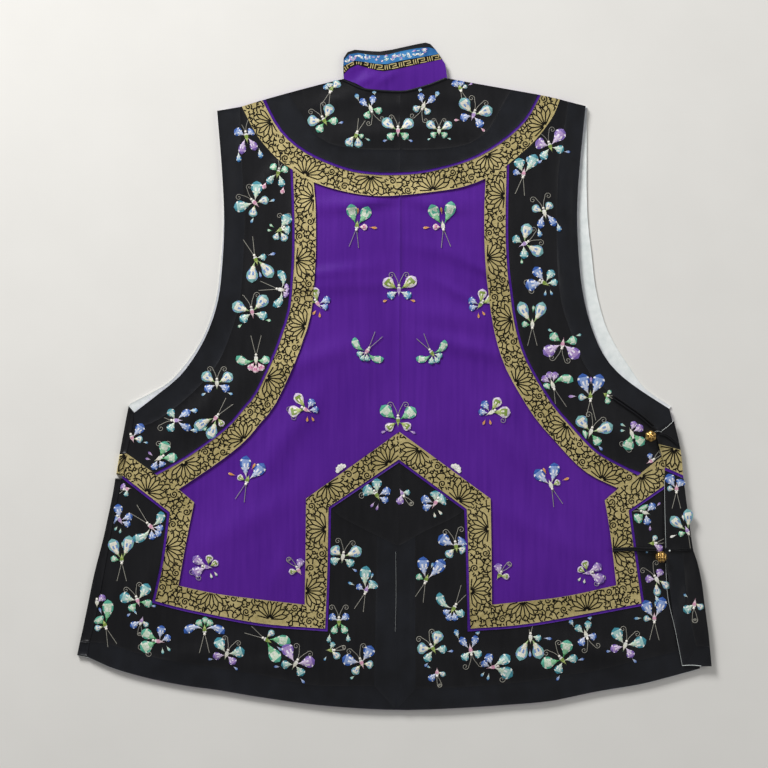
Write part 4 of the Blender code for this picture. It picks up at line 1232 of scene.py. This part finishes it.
# What shows of the cotton lining along the edges, where it is turned over the satin a little, and
# of the front's hem under the back's: one pale line each. A row is points along the edge, height
# and half width.
EDGES = {
    "wrap_left": (((283.4, -108), (283.9, -140), (284.9, -180)), 6.2, 0.17),
    "wrap_lower_left": (((284.5, -196), (287.0, -232), (294.5, -265), (302.0, -302.5)), 6.2, 0.17),
    "wrap_bottom": (((302.0, -303.2), (312, -302.8), (322, -303.6)), 6.0, 0.28),
    "wrap_top": (((280.2, -57.3), (288, -51.5), (293.5, -45.8)), 6.3, 0.17),
    "wrap_tip": (((273.5, -57.6), (277.5, -57.2), (280.5, -58.4)), 6.3, 0.15),
    "hem_right": (((216, -330.6), (258, -323.5), (288, -316.0), (318, -307.8)), 2.4, 0.35),
    "hem_left": (((-333, -293.2), (-321.5, -295.2), (-298, -305.5), (-276, -312.5)), 2.4, 0.35),
    "vent": (((1.5, -184), (1.9, -230), (1.1, -268)), 4.0, 0.08),
    "collar_left": (((-55.4, 311.4), (-54.3, 315.5), (-53.9, 322), (-53.4, 329)), 4.2, 0.24),
}
EDGE_HEIGHT = 0.4
for name, (rows, height, half_width) in EDGES.items():
    shape = bmesh.new()
    tube(shape, [spot.to_3d() for spot in smooth(rows, step=4.0)], half_width, EDGE_HEIGHT)
    put("lining_edge_" + name, shape, cotton, height)

# The picture: a plain pale floor, a large soft light from the upper left, a weaker one from the
# right, and a long lens straight above.
floor_mesh = bpy.data.meshes.new("floor")
FLOOR = 3.0  # metres from the middle to each side
floor_mesh.from_pydata(
    [(-FLOOR, -FLOOR, 0), (FLOOR, -FLOOR, 0), (FLOOR, FLOOR, 0), (-FLOOR, FLOOR, 0)], [],
    [(0, 1, 2, 3)],
)
floor = bpy.data.objects.new("floor", floor_mesh)
floor.location.z = -0.0005
bpy.context.scene.collection.objects.link(floor)
# Pale card: matt and almost even.
floor_mesh.materials.append(woven("pale_card", "#DEDCD7", "#E2E0DB", (3, 3, 3), 0.003, 0.02, 0.9))


def soft_light(name, place, size, watts):
    """A square lamp that faces the middle of the floor."""
    lamp = bpy.data.lights.new(name, "AREA")
    lamp.size = size
    lamp.energy = watts
    light = bpy.data.objects.new(name, lamp)
    light.location = place
    light.rotation_euler = (-Vector(place)).to_track_quat("-Z", "Y").to_euler()
    bpy.context.scene.collection.objects.link(light)


soft_light("soft_light_upper_left", (-1.3, 2.1, 1.4), size=0.9, watts=92)
soft_light("soft_light_right", (1.9, 0.2, 1.6), size=1.4, watts=10)
sky = bpy.data.worlds.new("pale_room")
bpy.context.scene.world = sky
sky.use_nodes = True
sky.node_tree.nodes["Background"].inputs["Color"].default_value = (1, 1, 1, 1)
sky.node_tree.nodes["Background"].inputs["Strength"].default_value = 0.28
bpy.context.scene.view_settings.view_transform = "Standard"

LENS = 100.0  # millimetres
SENSOR = 36.0
PIXEL = 1.05 * MM  # what a pixel of the photograph measures on the table
PICTURE = 768
CENTRE_X, CENTRE_Y = 394.2, 376.5  # the pixel above the frame's origin
SEEN_FROM = PICTURE * PIXEL * LENS / SENSOR + 0.004
lens = bpy.data.cameras.new("long_lens")
lens.lens = LENS
lens.sensor_width = SENSOR
camera = bpy.data.objects.new("camera", lens)
camera.location = (
    (PICTURE / 2 - CENTRE_X) * PIXEL, (CENTRE_Y - PICTURE / 2) * PIXEL, SEEN_FROM,
)
bpy.context.scene.collection.objects.link(camera)
bpy.context.scene.camera = camera
